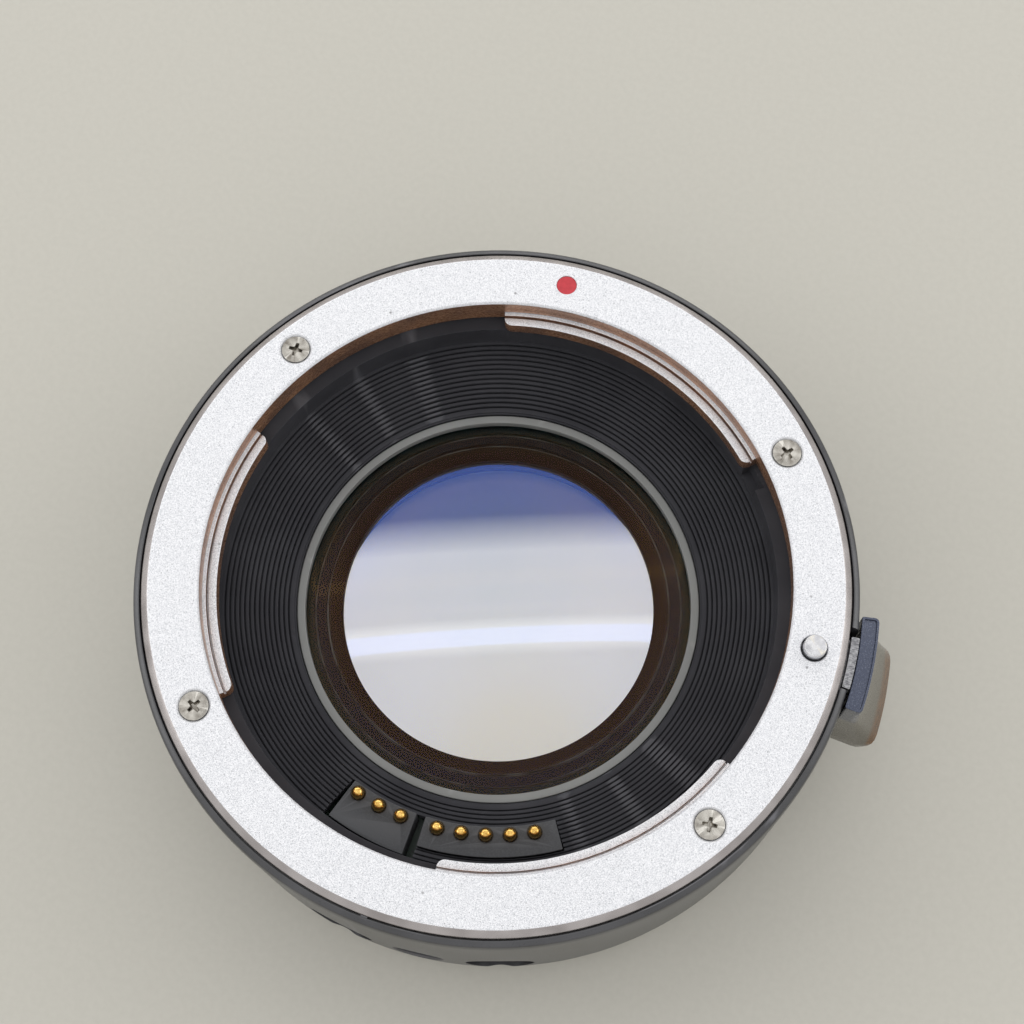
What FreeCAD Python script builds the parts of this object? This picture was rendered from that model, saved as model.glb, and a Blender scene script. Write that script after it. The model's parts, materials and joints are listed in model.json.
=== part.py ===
"""Lens mount adapter with a focal reducer, standing on its camera-side bayonet.

Millimetres. The origin is on the optical axis, in the plane that the adapter stands on, which is
the rear end of the camera-side bayonet tube. +Z points along the axis to the lens side. The red
index dot is on +Y. Bearings are in degrees, clockwise from +Y seen from the lens side, so the
release lever and its lock pin are close to +X and the electric contacts are round -Y.
"""

import FreeCAD, Part
import math
import os

Vector = FreeCAD.Vector

# Axial layout
FLANGE_TO_FACE = 20.0
CAMERA_BAYONET_DEPTH = 4.5

# Lens mount ring: face, throat and three bayonet tabs
THROAT_R = 27.0
THROAT_CHAMFER = 0.2
THROAT_WALL_HEIGHT = 1.9
THROAT_UNDERCUT = 0.3
RING_FACE_WIDTH = 4.65
RING_BEVEL_WIDTH = 0.7
RING_BEVEL_DROP = 0.45
RING_THICKNESS = 1.7
NECK_WALL = 1.1
TAB_REACH = 1.25
TAB_DROP = 2.2
TAB_THICKNESS = 1.5
TAB_SPANS = ((-11.5, 51.0), (116.3, 178.0), (233.8, 290.0))
TAB_CORNER_R = 0.7
LEDGE_WIDTH = 0.3
LEDGE_HEIGHT = 0.15
LEDGE_GROOVE_WIDTH = 0.2
LEDGE_GROOVE_DEPTH = 0.2
LEDGE_GROOVE_EXTRA_ANGLE = 1.0

# Leaf springs behind the tabs
LEAF_THICKNESS = 0.25
LEAF_WIDTH = 1.5
LEAF_SPAN = 26.0

# Screws of the lens mount ring
MOUNT_SCREW_INSET = 1.3
MOUNT_SCREW_TOP_BEARING = 53.6
MOUNT_SCREW_BOTTOM_BEARING = 127.5
MOUNT_SCREW_HEAD_R = 1.32
MOUNT_SCREW_SHANK_R = 0.8
MOUNT_SCREW_LENGTH = 5.2
SCREW_HEAD_EDGE = 0.09
SCREW_SINK = 0.06
SCREW_HOLE_GAP = 0.05

# Recesses of the screw heads, as shares of the head's radius or height
CROSS_SIZE = 1.15
CROSS_WIDTH = 0.3
CROSS_DEPTH = 0.45
CROSS_TIP_R = 0.35
CROSS_MOUTH_R = 0.85
CHEESE_CROSS_SIZE = 1.2
CHEESE_CROSS_DEPTH = 0.6

# Index dot on the lens mount face
INDEX_INSET = 1.58
INDEX_DOT_R = 0.95
INDEX_DOT_DEPTH = 0.35
INDEX_DOT_SINK = 0.08

# Barrel, the outer shell
RIM_WALL = 0.7
BARREL_WALL = 1.6
RIM_DROP = 0.5
RIM_GAP = 0.15
RIM_ROUND_WIDTH = 0.6
RIM_ROUND_DROP = 1.0
RIM_KEY_BEARING = 187.0
RIM_KEY_WIDTH = 0.6
SHELF_THICKNESS = 5.3
NECK_GAP = 0.2
BARREL_REAR_CHAMFER = 0.5
BARREL_TO_FLANGE = 0.5
POST_DEPTH = 4.8
POST_SPAN = 11.0
POST_BEARINGS = (60.0, 120.0, 240.0, 300.0)

# Foot seat on the underside of the barrel: two round sockets and a threaded insert
FOOT_BEARING = 180.0
FOOT_SOCKET_ANGLE = 13.4
FOOT_SOCKET_R = 3.2
FOOT_SOCKET_DEPTH = 1.1
FOOT_DROP = 16.0
FOOT_INSERT_R = 2.4
FOOT_THREAD_R = 2.1
FOOT_INSERT_LENGTH = 4.6
FOOT_INSERT_SINK = 0.5
FOOT_BOSS_WALL = 1.2

# Ribbed baffle with the black wall under the tabs
BAFFLE_WALL_INSET = 0.9
BAFFLE_WALL_FOOT_DROP = 6.8
RIB_COUNT = 15
RIB_PITCH = 0.44
RIB_STEP_DOWN = 0.17
RIB_GROOVE_WIDTH = 0.17
RIB_GROOVE_DEPTH = 0.35
BAFFLE_THICKNESS = 1.0
BAFFLE_FLANGE_WIDTH = 2.2
BAFFLE_FLANGE_THICKNESS = 0.8
BAFFLE_LIP_WIDTH = 0.15
BAFFLE_LIP_THICKNESS = 0.42
STOP_POCKET_SPAN = (50.5, 56.0)
STOP_POCKET_DEPTH = 2.0
SEAT_GAP = 0.02

# Electric contacts facing the lens
BLOCK_DROP = 7.0
BLOCK_HEIGHT = 3.5
BLOCK_INNER_MARGIN = 0.8
LARGE_BLOCK_OUTER_MARGIN = 2.0
SMALL_BLOCK_OUTER_MARGIN = 3.15
LARGE_BLOCK_SPAN = (152.7, 184.0)
SMALL_BLOCK_SPAN = (186.2, 203.3)
BLOCK_GAP = 0.12
SMALL_POCKET_EXTRA_ANGLE = 1.0
PIN_CIRCLE_INSET = 3.5
PIN_PITCH = 5.65
LARGE_BLOCK_PINS = 5
SMALL_BLOCK_PINS = 3
LARGE_PIN_OFFSET = 1.0
SMALL_PIN_OFFSET = 0.4
PIN_R = 0.58
PIN_GAP = 0.05
PIN_PROTRUSION = 1.1
PIN_COLLAR_R = 0.82
PIN_COLLAR_HEIGHT = 0.45
PIN_COLLAR_LIFT = 1.5
PIN_SPRING_COIL_R = 0.58
PIN_SPRING_WIRE_R = 0.08

# Control board and its parts
BOARD_THICKNESS = 0.8
BOARD_INNER_GAP = 1.3
BOARD_EDGE_GAP = 0.7
BOARD_SPAN = (114.0, 246.0)
BOARD_CORNER_R = 0.8
CHIP_SIZE = 4.2
CHIP_HEIGHT = 0.9
CHIP_INSET = 3.4
CHIP_BEARINGS = (141.0, 212.0)
CAPACITOR_SIZE = 1.1
CAPACITOR_HEIGHT = 0.6
CAPACITOR_BEARINGS = (162.0, 167.0, 172.0, 188.0, 193.0)
CABLE_THICKNESS = 0.15
CABLE_SPAN = (173.0, 187.0)
CABLE_GAP = 0.3
CABLE_TAB = 2.3
CABLE_EDGE_R = 0.05
CABLE_NOTCH_EXTRA_ANGLE = 1.0

# Small hidden screws
SMALL_SCREW_HEAD_R = 1.1
SMALL_SCREW_HEAD_HEIGHT = 0.6
SMALL_SCREW_SHANK_R = 0.6
SMALL_SCREW_LENGTH = 2.4
BAFFLE_SCREW_BEARINGS = (20.0, 150.0, 270.0)
CELL_SCREW_BEARINGS = (30.0, 150.0, 270.0)

# Optics: lip ring, lens cell, four glasses
LIP_DROP = 9.5
LIP_WIDTH = 0.77
LIP_HEIGHT = 0.9
CELL_WALL = 0.7
CELL_TOP_DROP = 0.4
CELL_FLANGE_WIDTH = 4.0
CELL_FLANGE_THICKNESS = 1.5
CELL_SCREW_SHARE = 0.6
GLASS_GAP = 0.05
FRONT_GLASS_EDGE = 0.8
FRONT_GLASS_R = 18.95
FRONT_GLASS_COVER = 0.47
FRONT_GLASS_CURVE_R = 60.0
STOP_R = 14.8
STOP_THICKNESS = 2.6
STOP_CONE_WIDTH = 0.9
STOP_GROOVE_RADII = (16.2, 17.4)
STOP_GROOVE_WIDTH = 0.25
STOP_GROOVE_DEPTH = 0.3
MIDDLE_GLASS_R = 16.4
MIDDLE_GLASS_CURVE_R = 300.0
CEMENTED_CURVE_R = 120.0
MIDDLE_FRONT_EDGE = 2.2
MIDDLE_REAR_EDGE = 2.55
CEMENT_GAP = 0.02
SPACER_HEIGHT = 1.0
SPACER_WIDTH = 1.6
REAR_GLASS_EDGE = 1.9
REAR_GLASS_CURVE_R = 320.0
REAR_LOCK_RING_HEIGHT = 0.8
CELL_REAR_WALL = 0.9
CELL_REAR_RIM = 0.2

# Rear plate that closes the barrel
PLATE_THICKNESS = 2.0
PLATE_GAP = 0.1
PLATE_TUBE_GAP = 0.1
PLATE_SCREW_BITE = 0.8
PLATE_RIM_SINK = 0.2
PLATE_SCREW_HEAD_R = 1.25

# Camera-side bayonet
CAMERA_TUBE_R = 21.6
CAMERA_TUBE_WALL = 1.2
CAMERA_TUBE_LAND = 1.5
CAMERA_TUBE_UNDERCUT = 0.3
CAMERA_LUG_REACH = 1.4
CAMERA_LUG_THICKNESS = 1.4
CAMERA_LUG_OFFSET = 1.0
CAMERA_LUG_SPAN = 54.0
CAMERA_LUG_BEARINGS = (30.0, 150.0, 270.0)
CAMERA_FLANGE_INSET = 1.0
CAMERA_FLANGE_THICKNESS = 1.4
CAMERA_SCREW_INSET = 3.6
CAMERA_SCREW_BEARINGS = (38.0, 142.0, 218.0, 322.0)
CAMERA_SCREW_LENGTH = 3.2
CAMERA_LOCK_HOLE_R = 1.6
CAMERA_LOCK_HOLE_BEARING = 270.0
CAMERA_DOT_R = 0.8
CAMERA_DOT_LIFT = 3.0
CAMERA_DOT_DEPTH = 0.25

# Electric contacts facing the camera
REAR_BLOCK_SPAN = (145.0, 215.0)
REAR_BLOCK_GAP = 0.15
REAR_BLOCK_LIFT = 1.8
REAR_EAR_SPAN = (157.0, 203.0)
REAR_EAR_REACH = 2.3
REAR_BLOCK_CORNER_R = 0.4
REAR_PAD_COUNT = 10
REAR_PAD_PITCH = 6.4
REAR_PAD_SPAN = 4.4
REAR_PAD_WIDTH = 1.4
REAR_PAD_HEIGHT = 0.2

# Release lever, lock pin and their spring
LEVER_BEARING = 90.8
LEVER_TRAVEL = 1.5
LOCK_PIN_INSET = 1.27
LOCK_PIN_R = 1.05
LOCK_PIN_HEIGHT = 0.87
LOCK_PIN_CHAMFER = 0.15
LOCK_PIN_HOLE_R = 1.2
LOCK_PIN_STEM_R = 0.55
NOTCH_WIDTH = 5.75
ARM_WIDTH = 4.85
ARM_SIDE_SHIFT = 0.35
ARM_THICKNESS = 1.0
ARM_TOP_GAP = 0.1
LEG_GAP = 0.2
LEG_THICKNESS = 0.75
LEG_TOP_DROP = 0.6
LEG_LENGTH = 7.4
SLOT_BREAKTHROUGH = 0.2
TRAVEL_CLEARANCE = 0.3
LEVER_SPRING_INSET = 1.85
LEVER_SPRING_COIL_R = 0.8
LEVER_SPRING_WIRE_R = 0.15
LEVER_SPRING_LENGTH = 3.7
LEVER_POCKET_GAP = 0.1
KNOB_GAP = 0.22
KNOB_TOP_DROP = 1.3
KNOB_NECK_HEIGHT = 3.7
KNOB_FLARE_HEIGHT = 6.3
KNOB_FOOT_HEIGHT = 1.3
KNOB_TOP_THICKNESS = 1.6
KNOB_WAIST_THICKNESS = 2.9
KNOB_FLARE_THICKNESS = 4.45
KNOB_FOOT_THICKNESS = 4.0
KNOB_TOP_HALF_WIDTH = 4.55
KNOB_WAIST_HALF_WIDTH = 4.75
KNOB_FLARE_HALF_WIDTH = 5.15
KNOB_TOP_CORNER_R = 0.5
KNOB_FLARE_CORNER_R = 1.5
KNOB_DISH_RIM = 0.22
KNOB_DISH_DEPTH = 0.3
KNOB_SCREW_DROPS = (3.4, 6.2)
KNOB_SCREW_HEAD_R = 0.85
KNOB_SCREW_HEAD_HEIGHT = 0.5
KNOB_SCREW_SHANK_R = 0.45
KNOB_SCREW_GRIP = 1.0

# Heights worked out from the sizes above
FLANGE_Z = CAMERA_BAYONET_DEPTH
FACE_Z = FLANGE_Z + FLANGE_TO_FACE
RING_SEAT_Z = FACE_Z - RING_THICKNESS
TAB_TOP_Z = FACE_Z - TAB_DROP
TAB_BACK_Z = TAB_TOP_Z - TAB_THICKNESS
RIM_TOP_Z = FACE_Z - RIM_DROP
SHELF_BOTTOM_Z = RING_SEAT_Z - SHELF_THICKNESS
BARREL_BOTTOM_Z = FLANGE_Z + BARREL_TO_FLANGE
PLATE_BOTTOM_Z = FLANGE_Z + CAMERA_FLANGE_THICKNESS
PLATE_TOP_Z = PLATE_BOTTOM_Z + PLATE_THICKNESS
BLOCK_TOP_Z = FACE_Z - BLOCK_DROP
BOARD_TOP_Z = BLOCK_TOP_Z - BLOCK_HEIGHT
BOARD_BOTTOM_Z = BOARD_TOP_Z - BOARD_THICKNESS
LIP_Z = FACE_Z - LIP_DROP
CELL_TOP_Z = LIP_Z - CELL_TOP_DROP
FRONT_SEAT_Z = LIP_Z - LIP_HEIGHT - GLASS_GAP - FRONT_GLASS_EDGE
STOP_REAR_Z = FRONT_SEAT_Z - STOP_THICKNESS
CEMENT_Z = STOP_REAR_Z - MIDDLE_FRONT_EDGE
DOUBLET_REAR_Z = CEMENT_Z - MIDDLE_REAR_EDGE
REAR_GLASS_TOP_Z = DOUBLET_REAR_Z - SPACER_HEIGHT
REAR_GLASS_BACK_Z = REAR_GLASS_TOP_Z - REAR_GLASS_EDGE
REAR_LOCK_RING_Z = REAR_GLASS_BACK_Z - REAR_LOCK_RING_HEIGHT
CELL_REAR_Z = REAR_LOCK_RING_Z - CELL_REAR_RIM
ARM_TOP_Z = RING_SEAT_Z - ARM_TOP_GAP
ARM_BOTTOM_Z = ARM_TOP_Z - ARM_THICKNESS
LEG_TOP_Z = FACE_Z - LEG_TOP_DROP
LEG_BOTTOM_Z = LEG_TOP_Z - LEG_LENGTH
KNOB_TOP_Z = FACE_Z - KNOB_TOP_DROP

# Radii worked out from the sizes above
RING_FACE_R = THROAT_R + RING_FACE_WIDTH
RING_R = RING_FACE_R + RING_BEVEL_WIDTH
NECK_R = THROAT_R + NECK_WALL
UNDERCUT_R = THROAT_R + THROAT_UNDERCUT
TAB_R = THROAT_R - TAB_REACH
MOUNT_SCREW_CIRCLE_R = NECK_R + MOUNT_SCREW_INSET
INDEX_CIRCLE_R = NECK_R + INDEX_INSET
LOCK_PIN_CIRCLE_R = NECK_R + LOCK_PIN_INSET
LEVER_SPRING_CIRCLE_R = NECK_R + LEVER_SPRING_INSET
RIM_INNER_R = RING_R + RIM_GAP
BARREL_R = RIM_INNER_R + RIM_WALL
BARREL_INNER_R = BARREL_R - BARREL_WALL
SHELF_R = NECK_R + NECK_GAP
POST_INNER_R = BARREL_INNER_R - POST_DEPTH
POST_SCREW_R = BARREL_INNER_R - POST_DEPTH / 2.0
LIP_INNER_R = FRONT_GLASS_R - FRONT_GLASS_COVER
LIP_OUTER_R = LIP_INNER_R + LIP_WIDTH
CELL_TOP_BORE_R = LIP_OUTER_R + GLASS_GAP
CELL_R = CELL_TOP_BORE_R + CELL_WALL
CELL_FLANGE_R = CELL_R + CELL_FLANGE_WIDTH
FRONT_BORE_R = FRONT_GLASS_R + GLASS_GAP
MIDDLE_BORE_R = MIDDLE_GLASS_R + GLASS_GAP
CELL_REAR_R = MIDDLE_BORE_R + CELL_REAR_WALL
SPACER_INNER_R = MIDDLE_GLASS_R - SPACER_WIDTH
BAFFLE_WALL_R = THROAT_R - BAFFLE_WALL_INSET
BAFFLE_RIB_FOOT_R = BAFFLE_WALL_R - RIB_COUNT * RIB_PITCH
BAFFLE_INNER_R = BAFFLE_RIB_FOOT_R - BAFFLE_LIP_WIDTH
BAFFLE_FLANGE_R = NECK_R + BAFFLE_FLANGE_WIDTH
BAFFLE_SCREW_CIRCLE_R = NECK_R + BAFFLE_FLANGE_WIDTH / 2.0
PIN_CIRCLE_R = BAFFLE_WALL_R - PIN_CIRCLE_INSET
BLOCK_INNER_R = PIN_CIRCLE_R - BLOCK_INNER_MARGIN
LARGE_BLOCK_OUTER_R = PIN_CIRCLE_R + LARGE_BLOCK_OUTER_MARGIN
SMALL_BLOCK_OUTER_R = PIN_CIRCLE_R + SMALL_BLOCK_OUTER_MARGIN
BOARD_INNER_R = CELL_R + BOARD_INNER_GAP
CHIP_R = BARREL_INNER_R - CHIP_INSET
CELL_SCREW_CIRCLE_R = CELL_R + CELL_FLANGE_WIDTH * CELL_SCREW_SHARE
CAMERA_TUBE_INNER_R = CAMERA_TUBE_R - CAMERA_TUBE_WALL
CAMERA_UNDERCUT_R = CAMERA_TUBE_INNER_R + CAMERA_TUBE_UNDERCUT
CAMERA_LUG_R = CAMERA_TUBE_R + CAMERA_LUG_REACH
CAMERA_FLANGE_R = BARREL_INNER_R - CAMERA_FLANGE_INSET
CAMERA_SCREW_CIRCLE_R = CAMERA_FLANGE_R - CAMERA_SCREW_INSET
PLATE_INNER_R = CAMERA_UNDERCUT_R + PLATE_TUBE_GAP
REAR_EAR_R = CAMERA_UNDERCUT_R + REAR_EAR_REACH
PLATE_R = BARREL_INNER_R - PLATE_GAP
PLATE_STEP_R = CAMERA_FLANGE_R + RIM_GAP
LEG_INNER_R = RING_R + LEG_GAP
LEG_OUTER_R = LEG_INNER_R + LEG_THICKNESS
ARM_INNER_R = NECK_R + NECK_GAP / 2.0
KNOB_INNER_R = BARREL_R + KNOB_GAP
FOOT_Z = FACE_Z - FOOT_DROP
FOOT_INSERT_FACE_R = BARREL_R - FOOT_INSERT_SINK
FOOT_BOSS_INNER_R = FOOT_INSERT_FACE_R - FOOT_INSERT_LENGTH
FOOT_BOSS_HALF_WIDTH = FOOT_INSERT_R + FOOT_BOSS_WALL
LEVER_SPRING_OUTER_R = LEVER_SPRING_COIL_R + LEVER_SPRING_WIRE_R

# Bearings worked out from the sizes above
MOUNT_SCREW_BEARINGS = (
    MOUNT_SCREW_TOP_BEARING,
    MOUNT_SCREW_BOTTOM_BEARING,
    360.0 - MOUNT_SCREW_BOTTOM_BEARING,
    360.0 - MOUNT_SCREW_TOP_BEARING,
)
LARGE_PIN_CENTRE = sum(LARGE_BLOCK_SPAN) / 2.0 + LARGE_PIN_OFFSET
SMALL_PIN_CENTRE = sum(SMALL_BLOCK_SPAN) / 2.0 + SMALL_PIN_OFFSET

# Extra reach of a cutting solid past the face that it cuts through
OVERCUT = 1.0


def polar(radius, bearing, z=0.0):
    """Point at a radius and a bearing clockwise from +Y."""
    angle = math.radians(bearing)
    return Vector(radius * math.sin(angle), radius * math.cos(angle), z)


def disc(radius, bottom, top, centre=(0.0, 0.0)):
    """Upright cylinder between two heights."""
    return Part.makeCylinder(radius, top - bottom, Vector(centre[0], centre[1], bottom))


def ring(outer_r, inner_r, bottom, top):
    """Plain ring about the optical axis."""
    return disc(outer_r, bottom, top).cut(disc(inner_r, bottom - OVERCUT, top + OVERCUT))


def block(x_low, x_high, y_low, y_high, bottom, top):
    """Box from its lowest to its highest corner."""
    corner = Vector(x_low, y_low, bottom)
    return Part.makeBox(x_high - x_low, y_high - y_low, top - bottom, corner)


def turned(points):
    """Solid of revolution from a closed outline of (radius, height) points."""
    outline = [Vector(radius, 0.0, height) for radius, height in points]
    wire = Part.makePolygon(outline + [outline[0]])
    return Part.Face(wire).revolve(Vector(0, 0, 0), Vector(0, 0, 1), 360)


def turned_edges(edges):
    """Solid of revolution from a list of edges that close an outline in the XZ plane."""
    wire = Part.Wire(Part.__sortEdges__(edges))
    return Part.Face(wire).revolve(Vector(0, 0, 0), Vector(0, 0, 1), 360)


def line(start, end):
    """Straight edge between two (radius, height) points of the XZ plane."""
    return Part.makeLine(Vector(start[0], 0.0, start[1]), Vector(end[0], 0.0, end[1]))


def bow(start, middle, end):
    """Arc edge through three (radius, height) points of the XZ plane."""
    points = [Vector(radius, 0.0, height) for radius, height in (start, middle, end)]
    return Part.Arc(*points).toShape()


def at_bearing(shape, bearing):
    """Turn a shape that was made along +X to a bearing."""
    turned_shape = shape.copy()
    turned_shape.rotate(Vector(0, 0, 0), Vector(0, 0, 1), 90.0 - bearing)
    return turned_shape


def sector_wire(inner_r, outer_r, start, end, z, outer_corner, inner_corner):
    """Closed outline of a ring sector with rounded corners, clockwise from start to end."""
    edges = []
    outer_mid_r = outer_r - outer_corner
    inner_mid_r = inner_r + inner_corner
    outer_turn = math.degrees(math.asin(outer_corner / outer_mid_r))
    inner_turn = math.degrees(math.asin(inner_corner / inner_mid_r))
    outer_side_r = outer_mid_r * math.cos(math.radians(outer_turn))
    inner_side_r = inner_mid_r * math.cos(math.radians(inner_turn))

    def corner(mid_r, bearing, turn, size, outward):
        centre = polar(mid_r, bearing + turn, z)
        radial = polar(outward * size, bearing + turn)
        side = polar(size, bearing - math.copysign(90.0, turn))
        return centre + (radial + side) * math.sqrt(0.5)

    middle = (start + end) / 2.0
    edges.append(Part.Arc(polar(outer_r, start + outer_turn, z), polar(outer_r, middle, z),
                          polar(outer_r, end - outer_turn, z)).toShape())
    edges.append(Part.Arc(polar(outer_r, end - outer_turn, z),
                          corner(outer_mid_r, end, -outer_turn, outer_corner, 1.0),
                          polar(outer_side_r, end, z)).toShape())
    edges.append(Part.makeLine(polar(outer_side_r, end, z), polar(inner_side_r, end, z)))
    edges.append(Part.Arc(polar(inner_side_r, end, z),
                          corner(inner_mid_r, end, -inner_turn, inner_corner, -1.0),
                          polar(inner_r, end - inner_turn, z)).toShape())
    edges.append(Part.Arc(polar(inner_r, end - inner_turn, z), polar(inner_r, middle, z),
                          polar(inner_r, start + inner_turn, z)).toShape())
    edges.append(Part.Arc(polar(inner_r, start + inner_turn, z),
                          corner(inner_mid_r, start, inner_turn, inner_corner, -1.0),
                          polar(inner_side_r, start, z)).toShape())
    edges.append(Part.makeLine(polar(inner_side_r, start, z), polar(outer_side_r, start, z)))
    edges.append(Part.Arc(polar(outer_side_r, start, z),
                          corner(outer_mid_r, start, outer_turn, outer_corner, 1.0),
                          polar(outer_r, start + outer_turn, z)).toShape())
    return Part.Wire(edges)


def sector(inner_r, outer_r, start, end, bottom, top, outer_corner=0.15, inner_corner=0.15):
    """Upright ring sector with rounded corners."""
    wire = sector_wire(inner_r, outer_r, start, end, bottom, outer_corner, inner_corner)
    return Part.Face(wire).extrude(Vector(0, 0, top - bottom))


def fused(shapes):
    """One solid from overlapping solids."""
    whole = shapes[0].fuse(list(shapes[1:]))
    return whole.removeSplitter()


def cut_all(shape, tools):
    """Shape less each of the tools."""
    for tool in tools:
        shape = shape.cut(tool)
    return shape


def cross_recess(size, width, depth):
    """Cutting solid for a cross recess, mouth at height 0."""
    arm = block(-size / 2.0, size / 2.0, -width / 2.0, width / 2.0, -depth, OVERCUT)
    other = arm.copy()
    other.rotate(Vector(0, 0, 0), Vector(0, 0, 1), 90)
    core = Part.makeCone(width * CROSS_TIP_R, width * CROSS_MOUTH_R, depth, Vector(0, 0, -depth))
    return fused([arm, other, core])


def countersunk_screw(head_r, shank_r, length):
    """Countersunk cross-head screw, head up, head face at height 0."""
    cone_foot = -SCREW_HEAD_EDGE - (head_r - shank_r)
    outline = [(0, 0), (head_r, 0), (head_r, -SCREW_HEAD_EDGE), (shank_r, cone_foot),
               (shank_r, -length), (0, -length)]
    recess = cross_recess(head_r * CROSS_SIZE, head_r * CROSS_WIDTH, head_r * CROSS_DEPTH)
    return turned(outline).cut(recess)


def countersink(head_r, shank_r, depth):
    """Cutting solid that seats a countersunk screw a little below height 0."""
    hole_r = shank_r + SCREW_HOLE_GAP
    mouth_r = head_r + SCREW_HOLE_GAP + SCREW_SINK + SCREW_HEAD_EDGE
    outline = [(0, OVERCUT), (mouth_r, OVERCUT), (mouth_r, 0), (hole_r, hole_r - mouth_r),
               (hole_r, -depth), (0, -depth)]
    return turned(outline)


def cheese_screw(length):
    """Small cheese-head screw, head up, underside of the head at height 0."""
    outline = [(0, SMALL_SCREW_HEAD_HEIGHT), (SMALL_SCREW_HEAD_R, SMALL_SCREW_HEAD_HEIGHT),
               (SMALL_SCREW_HEAD_R, 0), (SMALL_SCREW_SHANK_R, 0),
               (SMALL_SCREW_SHANK_R, -length), (0, -length)]
    recess = cross_recess(SMALL_SCREW_HEAD_R * CHEESE_CROSS_SIZE,
                          SMALL_SCREW_HEAD_R * CROSS_WIDTH,
                          SMALL_SCREW_HEAD_HEIGHT * CHEESE_CROSS_DEPTH)
    recess.translate(Vector(0, 0, SMALL_SCREW_HEAD_HEIGHT))
    return turned(outline).cut(recess)


def placed(shape, radius, bearing, z, flipped=False):
    """Copy of an upright shape at a radius, bearing and height, upside down if flipped."""
    copy = shape.copy()
    if flipped:
        copy.rotate(Vector(0, 0, 0), Vector(1, 0, 0), 180)
    copy.rotate(Vector(0, 0, 0), Vector(0, 0, 1), 90.0 - bearing)
    copy.translate(polar(radius, bearing, z))
    return copy


def group(shapes):
    """Several separate solids as one sub-part."""
    return Part.makeCompound(shapes)


def spring_sleeve(coil_r, wire_r, length):
    """Sleeve of the size of a small hidden coil spring, standing on height 0."""
    return ring(coil_r + wire_r, coil_r - wire_r, 0.0, length)


def lens_mount_ring():
    """Bright ring: flat face, bevelled edge, undercut throat, neck and three bayonet tabs."""
    undercut_z = FACE_Z - THROAT_WALL_HEIGHT
    body = turned([
        (THROAT_R + THROAT_CHAMFER, FACE_Z), (RING_FACE_R, FACE_Z),
        (RING_R, FACE_Z - RING_BEVEL_DROP), (RING_R, RING_SEAT_Z), (NECK_R, RING_SEAT_Z),
        (NECK_R, TAB_BACK_Z), (UNDERCUT_R, TAB_BACK_Z), (UNDERCUT_R, undercut_z),
        (THROAT_R, undercut_z), (THROAT_R, FACE_Z - THROAT_CHAMFER),
    ])
    root_r = (UNDERCUT_R + NECK_R) / 2.0
    ledge_r = THROAT_R - LEDGE_WIDTH
    groove_r = ledge_r - LEDGE_GROOVE_WIDTH
    pieces = [body]
    grooves = []
    for start, end in TAB_SPANS:
        pieces.append(sector(TAB_R, root_r, start, end, TAB_BACK_Z, TAB_TOP_Z,
                             inner_corner=TAB_CORNER_R))
        pieces.append(sector(ledge_r, root_r, start, end, TAB_TOP_Z - TAB_THICKNESS / 2.0,
                             TAB_TOP_Z + LEDGE_HEIGHT, inner_corner=LEDGE_WIDTH / 2.0))
        grooves.append(sector(groove_r, ledge_r, start - LEDGE_GROOVE_EXTRA_ANGLE,
                              end + LEDGE_GROOVE_EXTRA_ANGLE, TAB_TOP_Z - LEDGE_GROOVE_DEPTH,
                              TAB_TOP_Z + OVERCUT, outer_corner=SEAT_GAP, inner_corner=SEAT_GAP))
    shape = cut_all(fused(pieces), grooves)
    seat = countersink(MOUNT_SCREW_HEAD_R, MOUNT_SCREW_SHANK_R, RING_THICKNESS + OVERCUT)
    tools = [placed(seat, MOUNT_SCREW_CIRCLE_R, bearing, FACE_Z) for bearing in MOUNT_SCREW_BEARINGS]
    pin_centre = polar(LOCK_PIN_CIRCLE_R, LEVER_BEARING)
    tools.append(disc(LOCK_PIN_HOLE_R, RING_SEAT_Z - OVERCUT, FACE_Z + OVERCUT,
                      (pin_centre.x, pin_centre.y)))
    tools.append(disc(INDEX_DOT_R + SEAT_GAP, FACE_Z - INDEX_DOT_DEPTH - INDEX_DOT_SINK,
                      FACE_Z + OVERCUT, (0.0, INDEX_CIRCLE_R)))
    return cut_all(shape, tools)


def lens_mount_screws():
    """Four cross-head screws that hold the lens mount ring."""
    screw = countersunk_screw(MOUNT_SCREW_HEAD_R, MOUNT_SCREW_SHANK_R, MOUNT_SCREW_LENGTH)
    return group([placed(screw, MOUNT_SCREW_CIRCLE_R, bearing, FACE_Z - SCREW_SINK)
                  for bearing in MOUNT_SCREW_BEARINGS])


def index_dot():
    """Red paint dot in its shallow hole."""
    top = FACE_Z - INDEX_DOT_SINK
    return disc(INDEX_DOT_R, top - INDEX_DOT_DEPTH + SEAT_GAP, top, (0.0, INDEX_CIRCLE_R))


def bayonet_springs():
    """Three leaf springs that press a lens tab against the back of the ring's tabs."""
    top = TAB_BACK_Z - SEAT_GAP
    leaves = []
    for start, end in TAB_SPANS:
        middle = (start + end) / 2.0
        leaves.append(sector(NECK_R - LEAF_WIDTH, NECK_R - NECK_GAP, middle - LEAF_SPAN / 2.0,
                             middle + LEAF_SPAN / 2.0, top - LEAF_THICKNESS, top))
    return group(leaves)


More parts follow.
